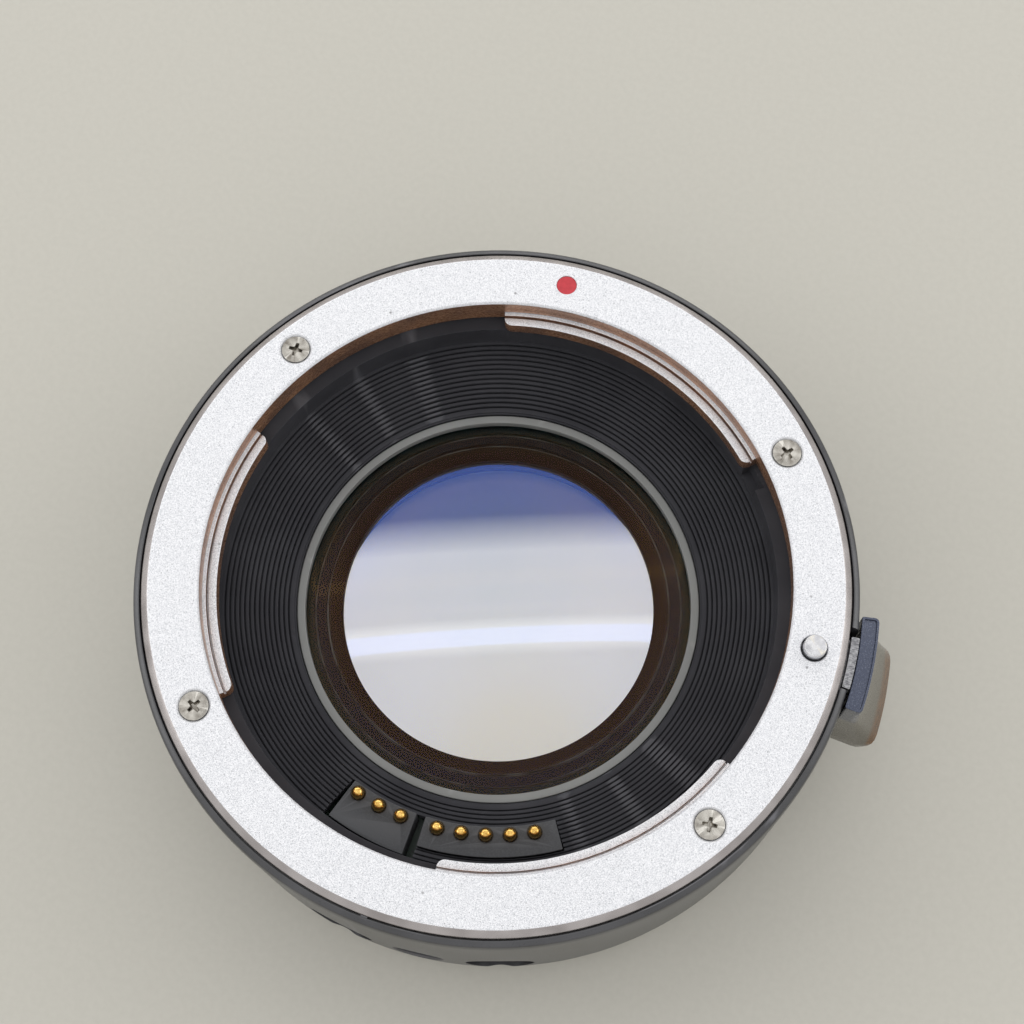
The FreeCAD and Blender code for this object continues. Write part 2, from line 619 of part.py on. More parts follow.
def barrel():
    """Black outer shell with the shelf for the lens mount ring, posts and the foot seat."""
    round_mid = (RIM_INNER_R + (BARREL_R - RIM_INNER_R) - RIM_ROUND_WIDTH * 0.3,
                 RIM_TOP_Z - RIM_ROUND_DROP * 0.35)
    round_start = (BARREL_R - RIM_ROUND_WIDTH, RIM_TOP_Z)
    round_end = (BARREL_R, RIM_TOP_Z - RIM_ROUND_DROP)
    rear_edge = (BARREL_R, BARREL_BOTTOM_Z + BARREL_REAR_CHAMFER)
    rear_face = (BARREL_R - BARREL_REAR_CHAMFER, BARREL_BOTTOM_Z)
    outline = [rear_edge, rear_face, (BARREL_INNER_R, BARREL_BOTTOM_Z),
               (BARREL_INNER_R, SHELF_BOTTOM_Z), (SHELF_R, SHELF_BOTTOM_Z),
               (SHELF_R, RING_SEAT_Z), (RIM_INNER_R, RING_SEAT_Z), (RIM_INNER_R, RIM_TOP_Z),
               round_start]
    edges = [line(a, b) for a, b in zip(outline, outline[1:])]
    edges.append(bow(round_start, round_mid, round_end))
    edges.append(line(round_end, rear_edge))
    shell = turned_edges(edges)

    into_wall = BARREL_INNER_R + BARREL_WALL / 2.0
    pieces = [shell]
    for bearing in POST_BEARINGS:
        pieces.append(sector(POST_INNER_R, into_wall, bearing - POST_SPAN / 2.0,
                             bearing + POST_SPAN / 2.0, PLATE_TOP_Z, BOARD_BOTTOM_Z))
    boss = block(FOOT_BOSS_INNER_R, into_wall, -FOOT_BOSS_HALF_WIDTH, FOOT_BOSS_HALF_WIDTH,
                 PLATE_BOTTOM_Z + SEAT_GAP, FOOT_Z + FOOT_BOSS_HALF_WIDTH)
    pieces.append(at_bearing(boss, FOOT_BEARING))
    key = block(RING_R + SEAT_GAP, RIM_INNER_R + RIM_GAP, -RIM_KEY_WIDTH / 2.0,
                RIM_KEY_WIDTH / 2.0, RING_SEAT_Z, RIM_TOP_Z)
    pieces.append(at_bearing(key, RIM_KEY_BEARING))
    shape = fused(pieces)
    return cut_all(shape, barrel_screw_holes() + foot_cuts() + lever_cuts())


def barrel_screw_holes():
    """Tapped holes in the shelf and the posts, and the pit of the camera-side dot."""
    tools = []
    for bearing in MOUNT_SCREW_BEARINGS:
        centre = polar(MOUNT_SCREW_CIRCLE_R, bearing)
        tools.append(disc(MOUNT_SCREW_SHANK_R + SCREW_HOLE_GAP,
                          FACE_Z - SCREW_SINK - MOUNT_SCREW_LENGTH - TRAVEL_CLEARANCE,
                          RING_SEAT_Z + OVERCUT, (centre.x, centre.y)))
    for bearing in BAFFLE_SCREW_BEARINGS:
        centre = polar(BAFFLE_SCREW_CIRCLE_R, bearing)
        tools.append(disc(SMALL_SCREW_SHANK_R + SCREW_HOLE_GAP, SHELF_BOTTOM_Z - OVERCUT,
                          SHELF_BOTTOM_Z + SMALL_SCREW_LENGTH, (centre.x, centre.y)))
    for bearing in POST_BEARINGS:
        centre = polar(POST_SCREW_R, bearing)
        tools.append(disc(SMALL_SCREW_SHANK_R + SCREW_HOLE_GAP, PLATE_TOP_Z - OVERCUT,
                          PLATE_TOP_Z + SMALL_SCREW_LENGTH, (centre.x, centre.y)))
        tools.append(disc(SMALL_SCREW_SHANK_R + SCREW_HOLE_GAP,
                          BOARD_BOTTOM_Z - SMALL_SCREW_LENGTH + BOARD_THICKNESS - SEAT_GAP,
                          BOARD_BOTTOM_Z + OVERCUT, (centre.x, centre.y)))
    pit = Part.makeCylinder(CAMERA_DOT_R + SEAT_GAP, CAMERA_DOT_DEPTH + OVERCUT,
                            Vector(0, BARREL_R - CAMERA_DOT_DEPTH, FLANGE_Z + CAMERA_DOT_LIFT),
                            Vector(0, 1, 0))
    tools.append(pit)
    return tools


def foot_cuts():
    """Two round sockets and the hole of the threaded insert, on the underside."""
    tools = []
    for offset in (-FOOT_SOCKET_ANGLE, FOOT_SOCKET_ANGLE):
        socket = Part.makeCylinder(FOOT_SOCKET_R, FOOT_SOCKET_DEPTH + OVERCUT,
                                   Vector(BARREL_R - FOOT_SOCKET_DEPTH, 0, FOOT_Z), Vector(1, 0, 0))
        tools.append(at_bearing(socket, FOOT_BEARING + offset))
    hole = Part.makeCylinder(FOOT_INSERT_R + SEAT_GAP, FOOT_INSERT_LENGTH + FOOT_INSERT_SINK
                             + 2.0 * OVERCUT, Vector(FOOT_BOSS_INNER_R - OVERCUT, 0, FOOT_Z),
                             Vector(1, 0, 0))
    tools.append(at_bearing(hole, FOOT_BEARING))
    return tools


def lever_cuts():
    """Channel for the arm, slot for the leg and pocket for the spring of the lever."""
    half = NOTCH_WIDTH / 2.0
    channel_floor = ARM_BOTTOM_Z - LEVER_TRAVEL - TRAVEL_CLEARANCE
    channel = block(SHELF_R - OVERCUT, BARREL_R + OVERCUT, -half, half, channel_floor,
                    FACE_Z + OVERCUT)
    slot_inner = BARREL_INNER_R - SLOT_BREAKTHROUGH
    slot_floor = LEG_BOTTOM_Z - LEVER_TRAVEL - TRAVEL_CLEARANCE
    slot = block(slot_inner, BARREL_R + OVERCUT, -half, half, slot_floor, FACE_Z)
    pocket = disc(LEVER_SPRING_OUTER_R + LEVER_POCKET_GAP,
                  ARM_BOTTOM_Z - LEVER_SPRING_LENGTH, channel_floor + OVERCUT,
                  (LEVER_SPRING_CIRCLE_R, 0.0))
    return [at_bearing(tool, LEVER_BEARING) for tool in (channel, slot, pocket)]


def foot_thread_insert():
    """Steel bush with the tapped hole for a tripod foot."""
    body = Part.makeCylinder(FOOT_INSERT_R, FOOT_INSERT_LENGTH,
                             Vector(FOOT_BOSS_INNER_R, 0, FOOT_Z), Vector(1, 0, 0))
    bore = Part.makeCylinder(FOOT_THREAD_R, FOOT_INSERT_LENGTH + 2.0 * OVERCUT,
                             Vector(FOOT_BOSS_INNER_R - OVERCUT, 0, FOOT_Z), Vector(1, 0, 0))
    return at_bearing(body.cut(bore), FOOT_BEARING)


def camera_index_dot():
    """White dot on the side of the barrel that lines up with the camera body."""
    plug = Part.makeCylinder(CAMERA_DOT_R, CAMERA_DOT_DEPTH - 2.0 * SEAT_GAP,
                             Vector(0, BARREL_R - CAMERA_DOT_DEPTH + SEAT_GAP,
                                    FLANGE_Z + CAMERA_DOT_LIFT), Vector(0, 1, 0))
    return plug


def ribbed_baffle():
    """Black wall under the tabs and the stepped, ribbed funnel down to the glass."""
    wall_top = TAB_BACK_Z - LEAF_THICKNESS - 2.0 * SEAT_GAP
    rib_top = FACE_Z - BAFFLE_WALL_FOOT_DROP
    flange_top = SHELF_BOTTOM_Z - SEAT_GAP
    flange_bottom = flange_top - BAFFLE_FLANGE_THICKNESS
    lip_top = rib_top - RIB_COUNT * RIB_STEP_DOWN
    lip_bottom = lip_top - BAFFLE_LIP_THICKNESS
    outline = [
        (BAFFLE_WALL_R, wall_top), (NECK_R, wall_top), (NECK_R, flange_top),
        (BAFFLE_FLANGE_R, flange_top), (BAFFLE_FLANGE_R, flange_bottom),
        (BAFFLE_WALL_R + BAFFLE_THICKNESS, flange_bottom),
        (BAFFLE_INNER_R + BAFFLE_THICKNESS, lip_bottom), (BAFFLE_INNER_R, lip_bottom),
        (BAFFLE_INNER_R, lip_top), (BAFFLE_RIB_FOOT_R, lip_top),
    ]
    for index in reversed(range(RIB_COUNT)):
        outer_r = BAFFLE_WALL_R - index * RIB_PITCH
        level = rib_top - index * RIB_STEP_DOWN
        inner_r = outer_r - RIB_PITCH
        if index < RIB_COUNT - 1:
            groove_z = level - RIB_STEP_DOWN - RIB_GROOVE_DEPTH
            groove_r = inner_r + RIB_GROOVE_WIDTH
            outline += [(inner_r, groove_z), (groove_r, groove_z), (groove_r, level)]
        else:
            outline.append((inner_r, level))
        outline.append((outer_r, level))
    shape = turned(outline)

    small_pocket_span = (SMALL_BLOCK_SPAN[0], SMALL_BLOCK_SPAN[1] + SMALL_POCKET_EXTRA_ANGLE)
    tools = [contact_pocket(SMALL_BLOCK_OUTER_R, small_pocket_span),
             contact_pocket(LARGE_BLOCK_OUTER_R, LARGE_BLOCK_SPAN),
             sector(BLOCK_INNER_R, BAFFLE_WALL_R, LARGE_BLOCK_SPAN[1], SMALL_BLOCK_SPAN[0],
                    lip_bottom - OVERCUT, rib_top + OVERCUT),
             sector(BAFFLE_WALL_R - OVERCUT, THROAT_R, STOP_POCKET_SPAN[0], STOP_POCKET_SPAN[1],
                    wall_top - STOP_POCKET_DEPTH, wall_top + OVERCUT)]
    for bearing in BAFFLE_SCREW_BEARINGS:
        centre = polar(BAFFLE_SCREW_CIRCLE_R, bearing)
        tools.append(disc(SMALL_SCREW_SHANK_R + SCREW_HOLE_GAP, flange_bottom - OVERCUT,
                          flange_top + OVERCUT, (centre.x, centre.y)))
    return cut_all(shape, tools)


def contact_pocket(outer_r, span):
    """Opening in the baffle that a contact block stands in."""
    gap = math.degrees(BLOCK_GAP / outer_r)
    return sector(BLOCK_INNER_R - BLOCK_GAP, outer_r + BLOCK_GAP, span[0] - gap, span[1] + gap,
                  BOARD_TOP_Z, BLOCK_TOP_Z + OVERCUT)


def baffle_screws():
    """Three small screws that hold the baffle's flange up against the shelf."""
    head_seat = SHELF_BOTTOM_Z - SEAT_GAP - BAFFLE_FLANGE_THICKNESS - SEAT_GAP
    screw = cheese_screw(SMALL_SCREW_LENGTH)
    return group([placed(screw, BAFFLE_SCREW_CIRCLE_R, bearing, head_seat, flipped=True)
                  for bearing in BAFFLE_SCREW_BEARINGS])


def pin_bearings(middle, count):
    """Bearings of the contact pins of one block, spaced evenly about their middle."""
    first = middle - (count - 1) / 2.0 * PIN_PITCH
    return [first + index * PIN_PITCH for index in range(count)]


def all_pin_bearings():
    """Bearings of the eight pins, those of the large block first."""
    large = pin_bearings(LARGE_PIN_CENTRE, LARGE_BLOCK_PINS)
    return large + pin_bearings(SMALL_PIN_CENTRE, SMALL_BLOCK_PINS)


def contact_block(outer_r, span, bearings):
    """Dark plastic block with a stepped hole for each pin and its spring."""
    shape = sector(BLOCK_INNER_R, outer_r, span[0], span[1], BOARD_TOP_Z + SEAT_GAP, BLOCK_TOP_Z)
    collar_top = BOARD_TOP_Z + PIN_COLLAR_LIFT + PIN_COLLAR_HEIGHT + SEAT_GAP
    tools = []
    for bearing in bearings:
        centre = polar(PIN_CIRCLE_R, bearing)
        tools.append(disc(PIN_R + PIN_GAP, BOARD_TOP_Z - OVERCUT, BLOCK_TOP_Z + OVERCUT,
                          (centre.x, centre.y)))
        tools.append(disc(PIN_COLLAR_R + PIN_GAP, BOARD_TOP_Z - OVERCUT, collar_top,
                          (centre.x, centre.y)))
    return cut_all(shape, tools)


def contact_pin():
    """Domed plunger with a collar, collar underside at height 0."""
    length = BLOCK_TOP_Z + PIN_PROTRUSION - (BOARD_TOP_Z + PIN_COLLAR_LIFT)
    dome_z = length - PIN_R
    cut_45 = PIN_R * math.sqrt(0.5)
    edges = [
        line((0, 0), (PIN_COLLAR_R, 0)), line((PIN_COLLAR_R, 0), (PIN_COLLAR_R, PIN_COLLAR_HEIGHT)),
        line((PIN_COLLAR_R, PIN_COLLAR_HEIGHT), (PIN_R, PIN_COLLAR_HEIGHT)),
        line((PIN_R, PIN_COLLAR_HEIGHT), (PIN_R, dome_z)),
        bow((PIN_R, dome_z), (cut_45, dome_z + cut_45), (0, length)),
        line((0, length), (0, 0)),
    ]
    return turned_edges(edges)


def contact_pins():
    """The eight plungers, in order of their bearings."""
    pin = contact_pin()
    foot = BOARD_TOP_Z + PIN_COLLAR_LIFT
    return [placed(pin, PIN_CIRCLE_R, bearing, foot) for bearing in all_pin_bearings()]


def contact_springs():
    """The spring under each plunger, standing on the control board."""
    spring = spring_sleeve(PIN_SPRING_COIL_R, PIN_SPRING_WIRE_R, PIN_COLLAR_LIFT - 2.0 * SEAT_GAP)
    foot = BOARD_TOP_Z + SEAT_GAP
    return [placed(spring, PIN_CIRCLE_R, bearing, foot) for bearing in all_pin_bearings()]


def control_board():
    """Circuit board on the two lower posts of the barrel."""
    shape = sector(BOARD_INNER_R, BARREL_INNER_R - BOARD_EDGE_GAP, BOARD_SPAN[0], BOARD_SPAN[1],
                   BOARD_BOTTOM_Z + SEAT_GAP, BOARD_TOP_Z, outer_corner=BOARD_CORNER_R,
                   inner_corner=BOARD_CORNER_R)
    holes = []
    for bearing in POST_BEARINGS[1:3]:
        centre = polar(POST_SCREW_R, bearing)
        holes.append(disc(SMALL_SCREW_SHANK_R + SCREW_HOLE_GAP, BOARD_BOTTOM_Z - OVERCUT,
                          BOARD_TOP_Z + OVERCUT, (centre.x, centre.y)))
    return cut_all(shape, holes)


def board_screws():
    """Two small screws that hold the control board."""
    screw = cheese_screw(SMALL_SCREW_LENGTH)
    return group([placed(screw, POST_SCREW_R, bearing, BOARD_TOP_Z + SEAT_GAP)
                  for bearing in POST_BEARINGS[1:3]])


def board_components():
    """Two chips and a row of capacitors on the control board."""
    floor = BOARD_TOP_Z + SEAT_GAP
    half_chip = CHIP_SIZE / 2.0
    chip = block(-half_chip, half_chip, -half_chip, half_chip, 0, CHIP_HEIGHT)
    half_cap = CAPACITOR_SIZE / 2.0
    capacitor = block(-half_cap, half_cap, -half_cap / 2.0, half_cap / 2.0, 0, CAPACITOR_HEIGHT)
    pieces = [placed(chip, CHIP_R, bearing, floor) for bearing in CHIP_BEARINGS]
    pieces += [placed(capacitor, CHIP_R, bearing, floor) for bearing in CAPACITOR_BEARINGS]
    return group(pieces)


def flex_cable():
    """Flat cable from the control board down to the rear contact block."""
    inner_r = CELL_R + CABLE_GAP
    foot = PLATE_TOP_Z + SEAT_GAP
    top = BOARD_BOTTOM_Z - SEAT_GAP
    strip = sector(inner_r, inner_r + CABLE_THICKNESS, CABLE_SPAN[0], CABLE_SPAN[1], foot, top,
                   outer_corner=CABLE_EDGE_R, inner_corner=CABLE_EDGE_R)
    tab = sector(inner_r, inner_r + CABLE_TAB, CABLE_SPAN[0], CABLE_SPAN[1],
                 top - CABLE_THICKNESS, top, inner_corner=CABLE_EDGE_R)
    return fused([strip, tab])


def lens_cell():
    """Black tube that carries the glasses, screwed to the rear plate."""
    flange_top = PLATE_TOP_Z + CELL_FLANGE_THICKNESS
    front_edge = FRONT_SEAT_Z + FRONT_GLASS_EDGE + GLASS_GAP
    outline = [
        (CELL_TOP_BORE_R, CELL_TOP_Z), (CELL_R, CELL_TOP_Z), (CELL_R, flange_top),
        (CELL_FLANGE_R, flange_top), (CELL_FLANGE_R, PLATE_TOP_Z + SEAT_GAP),
        (CELL_REAR_R, PLATE_TOP_Z + SEAT_GAP), (CELL_REAR_R, CELL_REAR_Z),
        (MIDDLE_BORE_R, CELL_REAR_Z), (MIDDLE_BORE_R, STOP_REAR_Z),
        (STOP_R + STOP_CONE_WIDTH, STOP_REAR_Z), (STOP_R, STOP_REAR_Z + STOP_CONE_WIDTH),
        (STOP_R, FRONT_SEAT_Z),
    ]
    groove_z = FRONT_SEAT_Z - STOP_GROOVE_DEPTH
    for radius in STOP_GROOVE_RADII:
        groove_r = radius + STOP_GROOVE_WIDTH
        outline += [(radius, FRONT_SEAT_Z), (radius, groove_z), (groove_r, groove_z),
                    (groove_r, FRONT_SEAT_Z)]
    outline += [(FRONT_BORE_R, FRONT_SEAT_Z), (FRONT_BORE_R, front_edge),
                (CELL_TOP_BORE_R, front_edge)]
    shape = turned(outline)
    notch = sector(CELL_R, CELL_FLANGE_R + OVERCUT, CABLE_SPAN[0] - CABLE_NOTCH_EXTRA_ANGLE,
                   CABLE_SPAN[1] + CABLE_NOTCH_EXTRA_ANGLE, PLATE_TOP_Z - OVERCUT,
                   flange_top + OVERCUT)
    tools = [notch]
    for bearing in CELL_SCREW_BEARINGS:
        centre = polar(CELL_SCREW_CIRCLE_R, bearing)
        tools.append(disc(SMALL_SCREW_SHANK_R + SCREW_HOLE_GAP, PLATE_TOP_Z - OVERCUT,
                          flange_top + OVERCUT, (centre.x, centre.y)))
    return cut_all(shape, tools)


def cell_screws():
    """Three small screws that hold the lens cell on the rear plate."""
    screw = cheese_screw(CELL_FLANGE_THICKNESS + PLATE_THICKNESS * PLATE_SCREW_BITE)
    return group([placed(screw, CELL_SCREW_CIRCLE_R, bearing,
                         PLATE_TOP_Z + CELL_FLANGE_THICKNESS + SEAT_GAP)
                  for bearing in CELL_SCREW_BEARINGS])


def front_retaining_ring():
    """Light grey lip ring that holds the front glass."""
    return ring(LIP_OUTER_R, LIP_INNER_R, LIP_Z - LIP_HEIGHT + GLASS_GAP, LIP_Z)


def glass(radius, top, bottom, top_curve_r, top_clear_r, bottom_curve_r=0.0):
    """Lens element: domed top inside a flat edge, and a flat or downward domed bottom.

    The top and bottom heights are those at the edge of the glass.
    """
    edges = []
    dome = top_curve_r - math.sqrt(top_curve_r ** 2 - top_clear_r ** 2)
    half_r = top_clear_r / 2.0
    half_rise = dome - (top_curve_r - math.sqrt(top_curve_r ** 2 - half_r ** 2))
    edges.append(bow((0, top + dome), (half_r, top + half_rise), (top_clear_r, top)))
    if radius > top_clear_r:
        edges.append(line((top_clear_r, top), (radius, top)))
    edges.append(line((radius, top), (radius, bottom)))
    foot = bottom
    if bottom_curve_r > 0.0:
        sag = bottom_curve_r - math.sqrt(bottom_curve_r ** 2 - radius ** 2)
        half_sag = sag - (bottom_curve_r - math.sqrt(bottom_curve_r ** 2 - radius ** 2 / 4.0))
        foot = bottom - sag
        edges.append(bow((radius, bottom), (radius / 2.0, bottom - half_sag), (0, foot)))
    else:
        edges.append(line((radius, bottom), (0, bottom)))
    edges.append(line((0, foot), (0, top + dome)))
    return turned_edges(edges)


def front_element():
    """Large domed front glass under the lip ring."""
    return glass(FRONT_GLASS_R, FRONT_SEAT_Z + FRONT_GLASS_EDGE, FRONT_SEAT_Z + SEAT_GAP,
                 FRONT_GLASS_CURVE_R, LIP_INNER_R - GLASS_GAP)


def middle_front_element():
    """Front half of the cemented pair, domed on both sides."""
    return glass(MIDDLE_GLASS_R, STOP_REAR_Z - SEAT_GAP, CEMENT_Z, MIDDLE_GLASS_CURVE_R,
                 STOP_R, CEMENTED_CURVE_R)


def middle_rear_element():
    """Rear half of the cemented pair, hollow on its front side."""
    blank = disc(MIDDLE_GLASS_R, DOUBLET_REAR_Z, CEMENT_Z)
    drop = math.sqrt(CEMENTED_CURVE_R ** 2 - MIDDLE_GLASS_R ** 2)
    ball = Part.makeSphere(CEMENTED_CURVE_R + CEMENT_GAP, Vector(0, 0, CEMENT_Z + drop))
    return blank.cut(ball)


def element_spacer():
    """Black ring between the cemented pair and the rear glass."""
    return ring(MIDDLE_GLASS_R, SPACER_INNER_R, REAR_GLASS_TOP_Z + SEAT_GAP,
                DOUBLET_REAR_Z - SEAT_GAP)


def rear_element():
    """Rear glass, domed to the front and flat to the camera."""
    return glass(MIDDLE_GLASS_R, REAR_GLASS_TOP_Z, REAR_GLASS_BACK_Z, REAR_GLASS_CURVE_R,
                 SPACER_INNER_R - GLASS_GAP)


def rear_retaining_ring():
    """Threaded ring that locks the rear glass into the cell."""
    return ring(MIDDLE_GLASS_R, SPACER_INNER_R, REAR_LOCK_RING_Z, REAR_GLASS_BACK_Z - SEAT_GAP)


def rear_plate():
    """Black plate that closes the barrel and carries the cell and the camera mount ring."""
    rim_z = BARREL_BOTTOM_Z + PLATE_RIM_SINK
    shape = turned([
        (PLATE_INNER_R, PLATE_BOTTOM_Z), (PLATE_STEP_R, PLATE_BOTTOM_Z), (PLATE_STEP_R, rim_z),
        (PLATE_R, rim_z), (PLATE_R, PLATE_TOP_Z), (PLATE_INNER_R, PLATE_TOP_Z),
    ])
    boss_room = block(FOOT_BOSS_INNER_R - PLATE_GAP * 2.0, PLATE_R + OVERCUT,
                      -FOOT_BOSS_HALF_WIDTH - PLATE_GAP * 2.0,
                      FOOT_BOSS_HALF_WIDTH + PLATE_GAP * 2.0, PLATE_BOTTOM_Z, PLATE_TOP_Z + OVERCUT)
    ear_gap = math.degrees(PLATE_GAP / REAR_EAR_R)
    ear_room = sector(PLATE_INNER_R - OVERCUT, REAR_EAR_R + PLATE_GAP, REAR_EAR_SPAN[0] - ear_gap,
                      REAR_EAR_SPAN[1] + ear_gap, PLATE_BOTTOM_Z - OVERCUT, PLATE_TOP_Z + OVERCUT)
    tools = [at_bearing(boss_room, FOOT_BEARING), ear_room]
    seat = countersink(PLATE_SCREW_HEAD_R, SMALL_SCREW_SHANK_R, PLATE_THICKNESS + OVERCUT)
    for bearing in POST_BEARINGS:
        tools.append(placed(seat, POST_SCREW_R, bearing, PLATE_BOTTOM_Z, flipped=True))
    for bearing in CAMERA_SCREW_BEARINGS:
        centre = polar(CAMERA_SCREW_CIRCLE_R, bearing)
        tools.append(disc(MOUNT_SCREW_SHANK_R + SCREW_HOLE_GAP, PLATE_BOTTOM_Z - OVERCUT,
                          PLATE_TOP_Z + OVERCUT, (centre.x, centre.y)))
    for bearing in CELL_SCREW_BEARINGS:
        centre = polar(CELL_SCREW_CIRCLE_R, bearing)
        tools.append(disc(SMALL_SCREW_SHANK_R + SCREW_HOLE_GAP, PLATE_BOTTOM_Z - OVERCUT,
                          PLATE_TOP_Z + OVERCUT, (centre.x, centre.y)))
    return cut_all(shape, tools)


def rear_plate_screws():
    """Four countersunk screws from the rear plate into the posts of the barrel."""
    screw = countersunk_screw(PLATE_SCREW_HEAD_R, SMALL_SCREW_SHANK_R,
                              PLATE_THICKNESS + SMALL_SCREW_LENGTH - TRAVEL_CLEARANCE)
    return group([placed(screw, POST_SCREW_R, bearing, PLATE_BOTTOM_Z + SCREW_SINK, flipped=True)
                  for bearing in POST_BEARINGS])


def camera_mount_ring():
    """Bright camera-side bayonet: flange, tube undercut inside, and three lugs."""
    lug_low = CAMERA_LUG_OFFSET
    top = PLATE_BOTTOM_Z - SEAT_GAP
    pieces = [turned([
        (CAMERA_TUBE_R, 0.0), (CAMERA_TUBE_R, FLANGE_Z), (CAMERA_FLANGE_R, FLANGE_Z),
        (CAMERA_FLANGE_R, top), (CAMERA_UNDERCUT_R, top), (CAMERA_UNDERCUT_R, CAMERA_TUBE_LAND),
        (CAMERA_TUBE_INNER_R, CAMERA_TUBE_LAND), (CAMERA_TUBE_INNER_R, 0.0),
    ])]
    lug_root_r = (CAMERA_UNDERCUT_R + CAMERA_TUBE_R) / 2.0
    for bearing in CAMERA_LUG_BEARINGS:
        pieces.append(sector(lug_root_r, CAMERA_LUG_R,
                             bearing - CAMERA_LUG_SPAN / 2.0, bearing + CAMERA_LUG_SPAN / 2.0,
                             lug_low, lug_low + CAMERA_LUG_THICKNESS))
    shape = fused(pieces)
    seat = countersink(MOUNT_SCREW_HEAD_R, MOUNT_SCREW_SHANK_R,
                       CAMERA_FLANGE_THICKNESS + OVERCUT)
    tools = [placed(seat, CAMERA_SCREW_CIRCLE_R, bearing, FLANGE_Z, flipped=True)
             for bearing in CAMERA_SCREW_BEARINGS]
    centre = polar(CAMERA_SCREW_CIRCLE_R, CAMERA_LOCK_HOLE_BEARING)
    tools.append(disc(CAMERA_LOCK_HOLE_R, FLANGE_Z - OVERCUT, PLATE_BOTTOM_Z + OVERCUT,
                      (centre.x, centre.y)))
    return cut_all(shape, tools)


def camera_mount_screws():
    """Four countersunk screws that hold the camera mount ring."""
    screw = countersunk_screw(MOUNT_SCREW_HEAD_R, MOUNT_SCREW_SHANK_R, CAMERA_SCREW_LENGTH)
    return group([placed(screw, CAMERA_SCREW_CIRCLE_R, bearing, FLANGE_Z + SCREW_SINK, flipped=True)
                  for bearing in CAMERA_SCREW_BEARINGS])


def rear_contact_block():
    """Black plastic arc for the camera-side contacts, held by an ear on the mount ring."""
    inner_r = CELL_REAR_R + REAR_BLOCK_GAP
    arc = sector(inner_r, CAMERA_TUBE_INNER_R - REAR_BLOCK_GAP, REAR_BLOCK_SPAN[0],
                 REAR_BLOCK_SPAN[1], REAR_BLOCK_LIFT, PLATE_TOP_Z, REAR_BLOCK_CORNER_R,
                 REAR_BLOCK_CORNER_R)
    ear = sector(inner_r + REAR_BLOCK_GAP, REAR_EAR_R, REAR_EAR_SPAN[0], REAR_EAR_SPAN[1],
                 PLATE_BOTTOM_Z, PLATE_TOP_Z)
    return fused([arc, ear])


def rear_contact_pads():
    """Row of flat gold pads on the rear contact block."""
    middle = sum(REAR_BLOCK_SPAN) / 2.0
    first = middle - (REAR_PAD_COUNT - 1) / 2.0 * REAR_PAD_PITCH
    block_middle_r = (CELL_REAR_R + CAMERA_TUBE_INNER_R) / 2.0
    pads = []
    for index in range(REAR_PAD_COUNT):
        bearing = first + index * REAR_PAD_PITCH
        pads.append(sector(block_middle_r - REAR_PAD_WIDTH / 2.0,
                           block_middle_r + REAR_PAD_WIDTH / 2.0,
                           bearing - REAR_PAD_SPAN / 2.0, bearing + REAR_PAD_SPAN / 2.0,
                           REAR_BLOCK_LIFT - REAR_PAD_HEIGHT, REAR_BLOCK_LIFT - SEAT_GAP))
    return group(pads)


def lock_pin():
    """Bright pin that locks a lens, riveted into the lever's arm by its stem."""
    top = FACE_Z + LOCK_PIN_HEIGHT
    outline = [
        (0, top), (LOCK_PIN_R - LOCK_PIN_CHAMFER, top), (LOCK_PIN_R, top - LOCK_PIN_CHAMFER),
        (LOCK_PIN_R, ARM_TOP_Z + SEAT_GAP), (LOCK_PIN_STEM_R, ARM_TOP_Z + SEAT_GAP),
        (LOCK_PIN_STEM_R, ARM_BOTTOM_Z), (0, ARM_BOTTOM_Z),
    ]
    return placed(turned(outline), LOCK_PIN_CIRCLE_R, LEVER_BEARING, 0.0)


def lock_pin_spring():
    """Spring in the shelf's pocket that pushes the arm and its pin up."""
    spring = spring_sleeve(LEVER_SPRING_COIL_R, LEVER_SPRING_WIRE_R,
                           LEVER_SPRING_LENGTH - 2.0 * SEAT_GAP)
    return placed(spring, LEVER_SPRING_CIRCLE_R, LEVER_BEARING,
                  ARM_BOTTOM_Z - LEVER_SPRING_LENGTH + SEAT_GAP)


def lever_arm():
    """Steel arm: a flat under the mount ring and a leg that comes up in the rim's notch."""
    y_low = -ARM_SIDE_SHIFT - ARM_WIDTH / 2.0
    y_high = -ARM_SIDE_SHIFT + ARM_WIDTH / 2.0
    flat = block(ARM_INNER_R - OVERCUT, LEG_INNER_R + LEG_THICKNESS / 2.0, y_low, y_high,
                 ARM_BOTTOM_Z, ARM_TOP_Z)
    leg = block(LEG_INNER_R, LEG_OUTER_R + OVERCUT, y_low, y_high, LEG_BOTTOM_Z, LEG_TOP_Z)
    leg_shell = ring(LEG_OUTER_R, LEG_INNER_R, LEG_BOTTOM_Z - OVERCUT, LEG_TOP_Z + OVERCUT)
    shape = fused([flat, leg.common(leg_shell)])
    stem_hole = disc(LOCK_PIN_STEM_R + SEAT_GAP, ARM_BOTTOM_Z - OVERCUT, ARM_TOP_Z + OVERCUT,
                     (LOCK_PIN_CIRCLE_R, 0.0))
    tools = [disc(ARM_INNER_R, ARM_BOTTOM_Z - OVERCUT, ARM_TOP_Z + OVERCUT), stem_hole]
    for drop in KNOB_SCREW_DROPS:
        tools.append(Part.makeCylinder(KNOB_SCREW_SHANK_R + SCREW_HOLE_GAP, LEG_THICKNESS * 3.0,
                                       Vector(LEG_INNER_R - LEG_THICKNESS, -ARM_SIDE_SHIFT,
                                              LEG_TOP_Z - drop), Vector(1, 0, 0)))
    return at_bearing(cut_all(shape, tools), LEVER_BEARING)


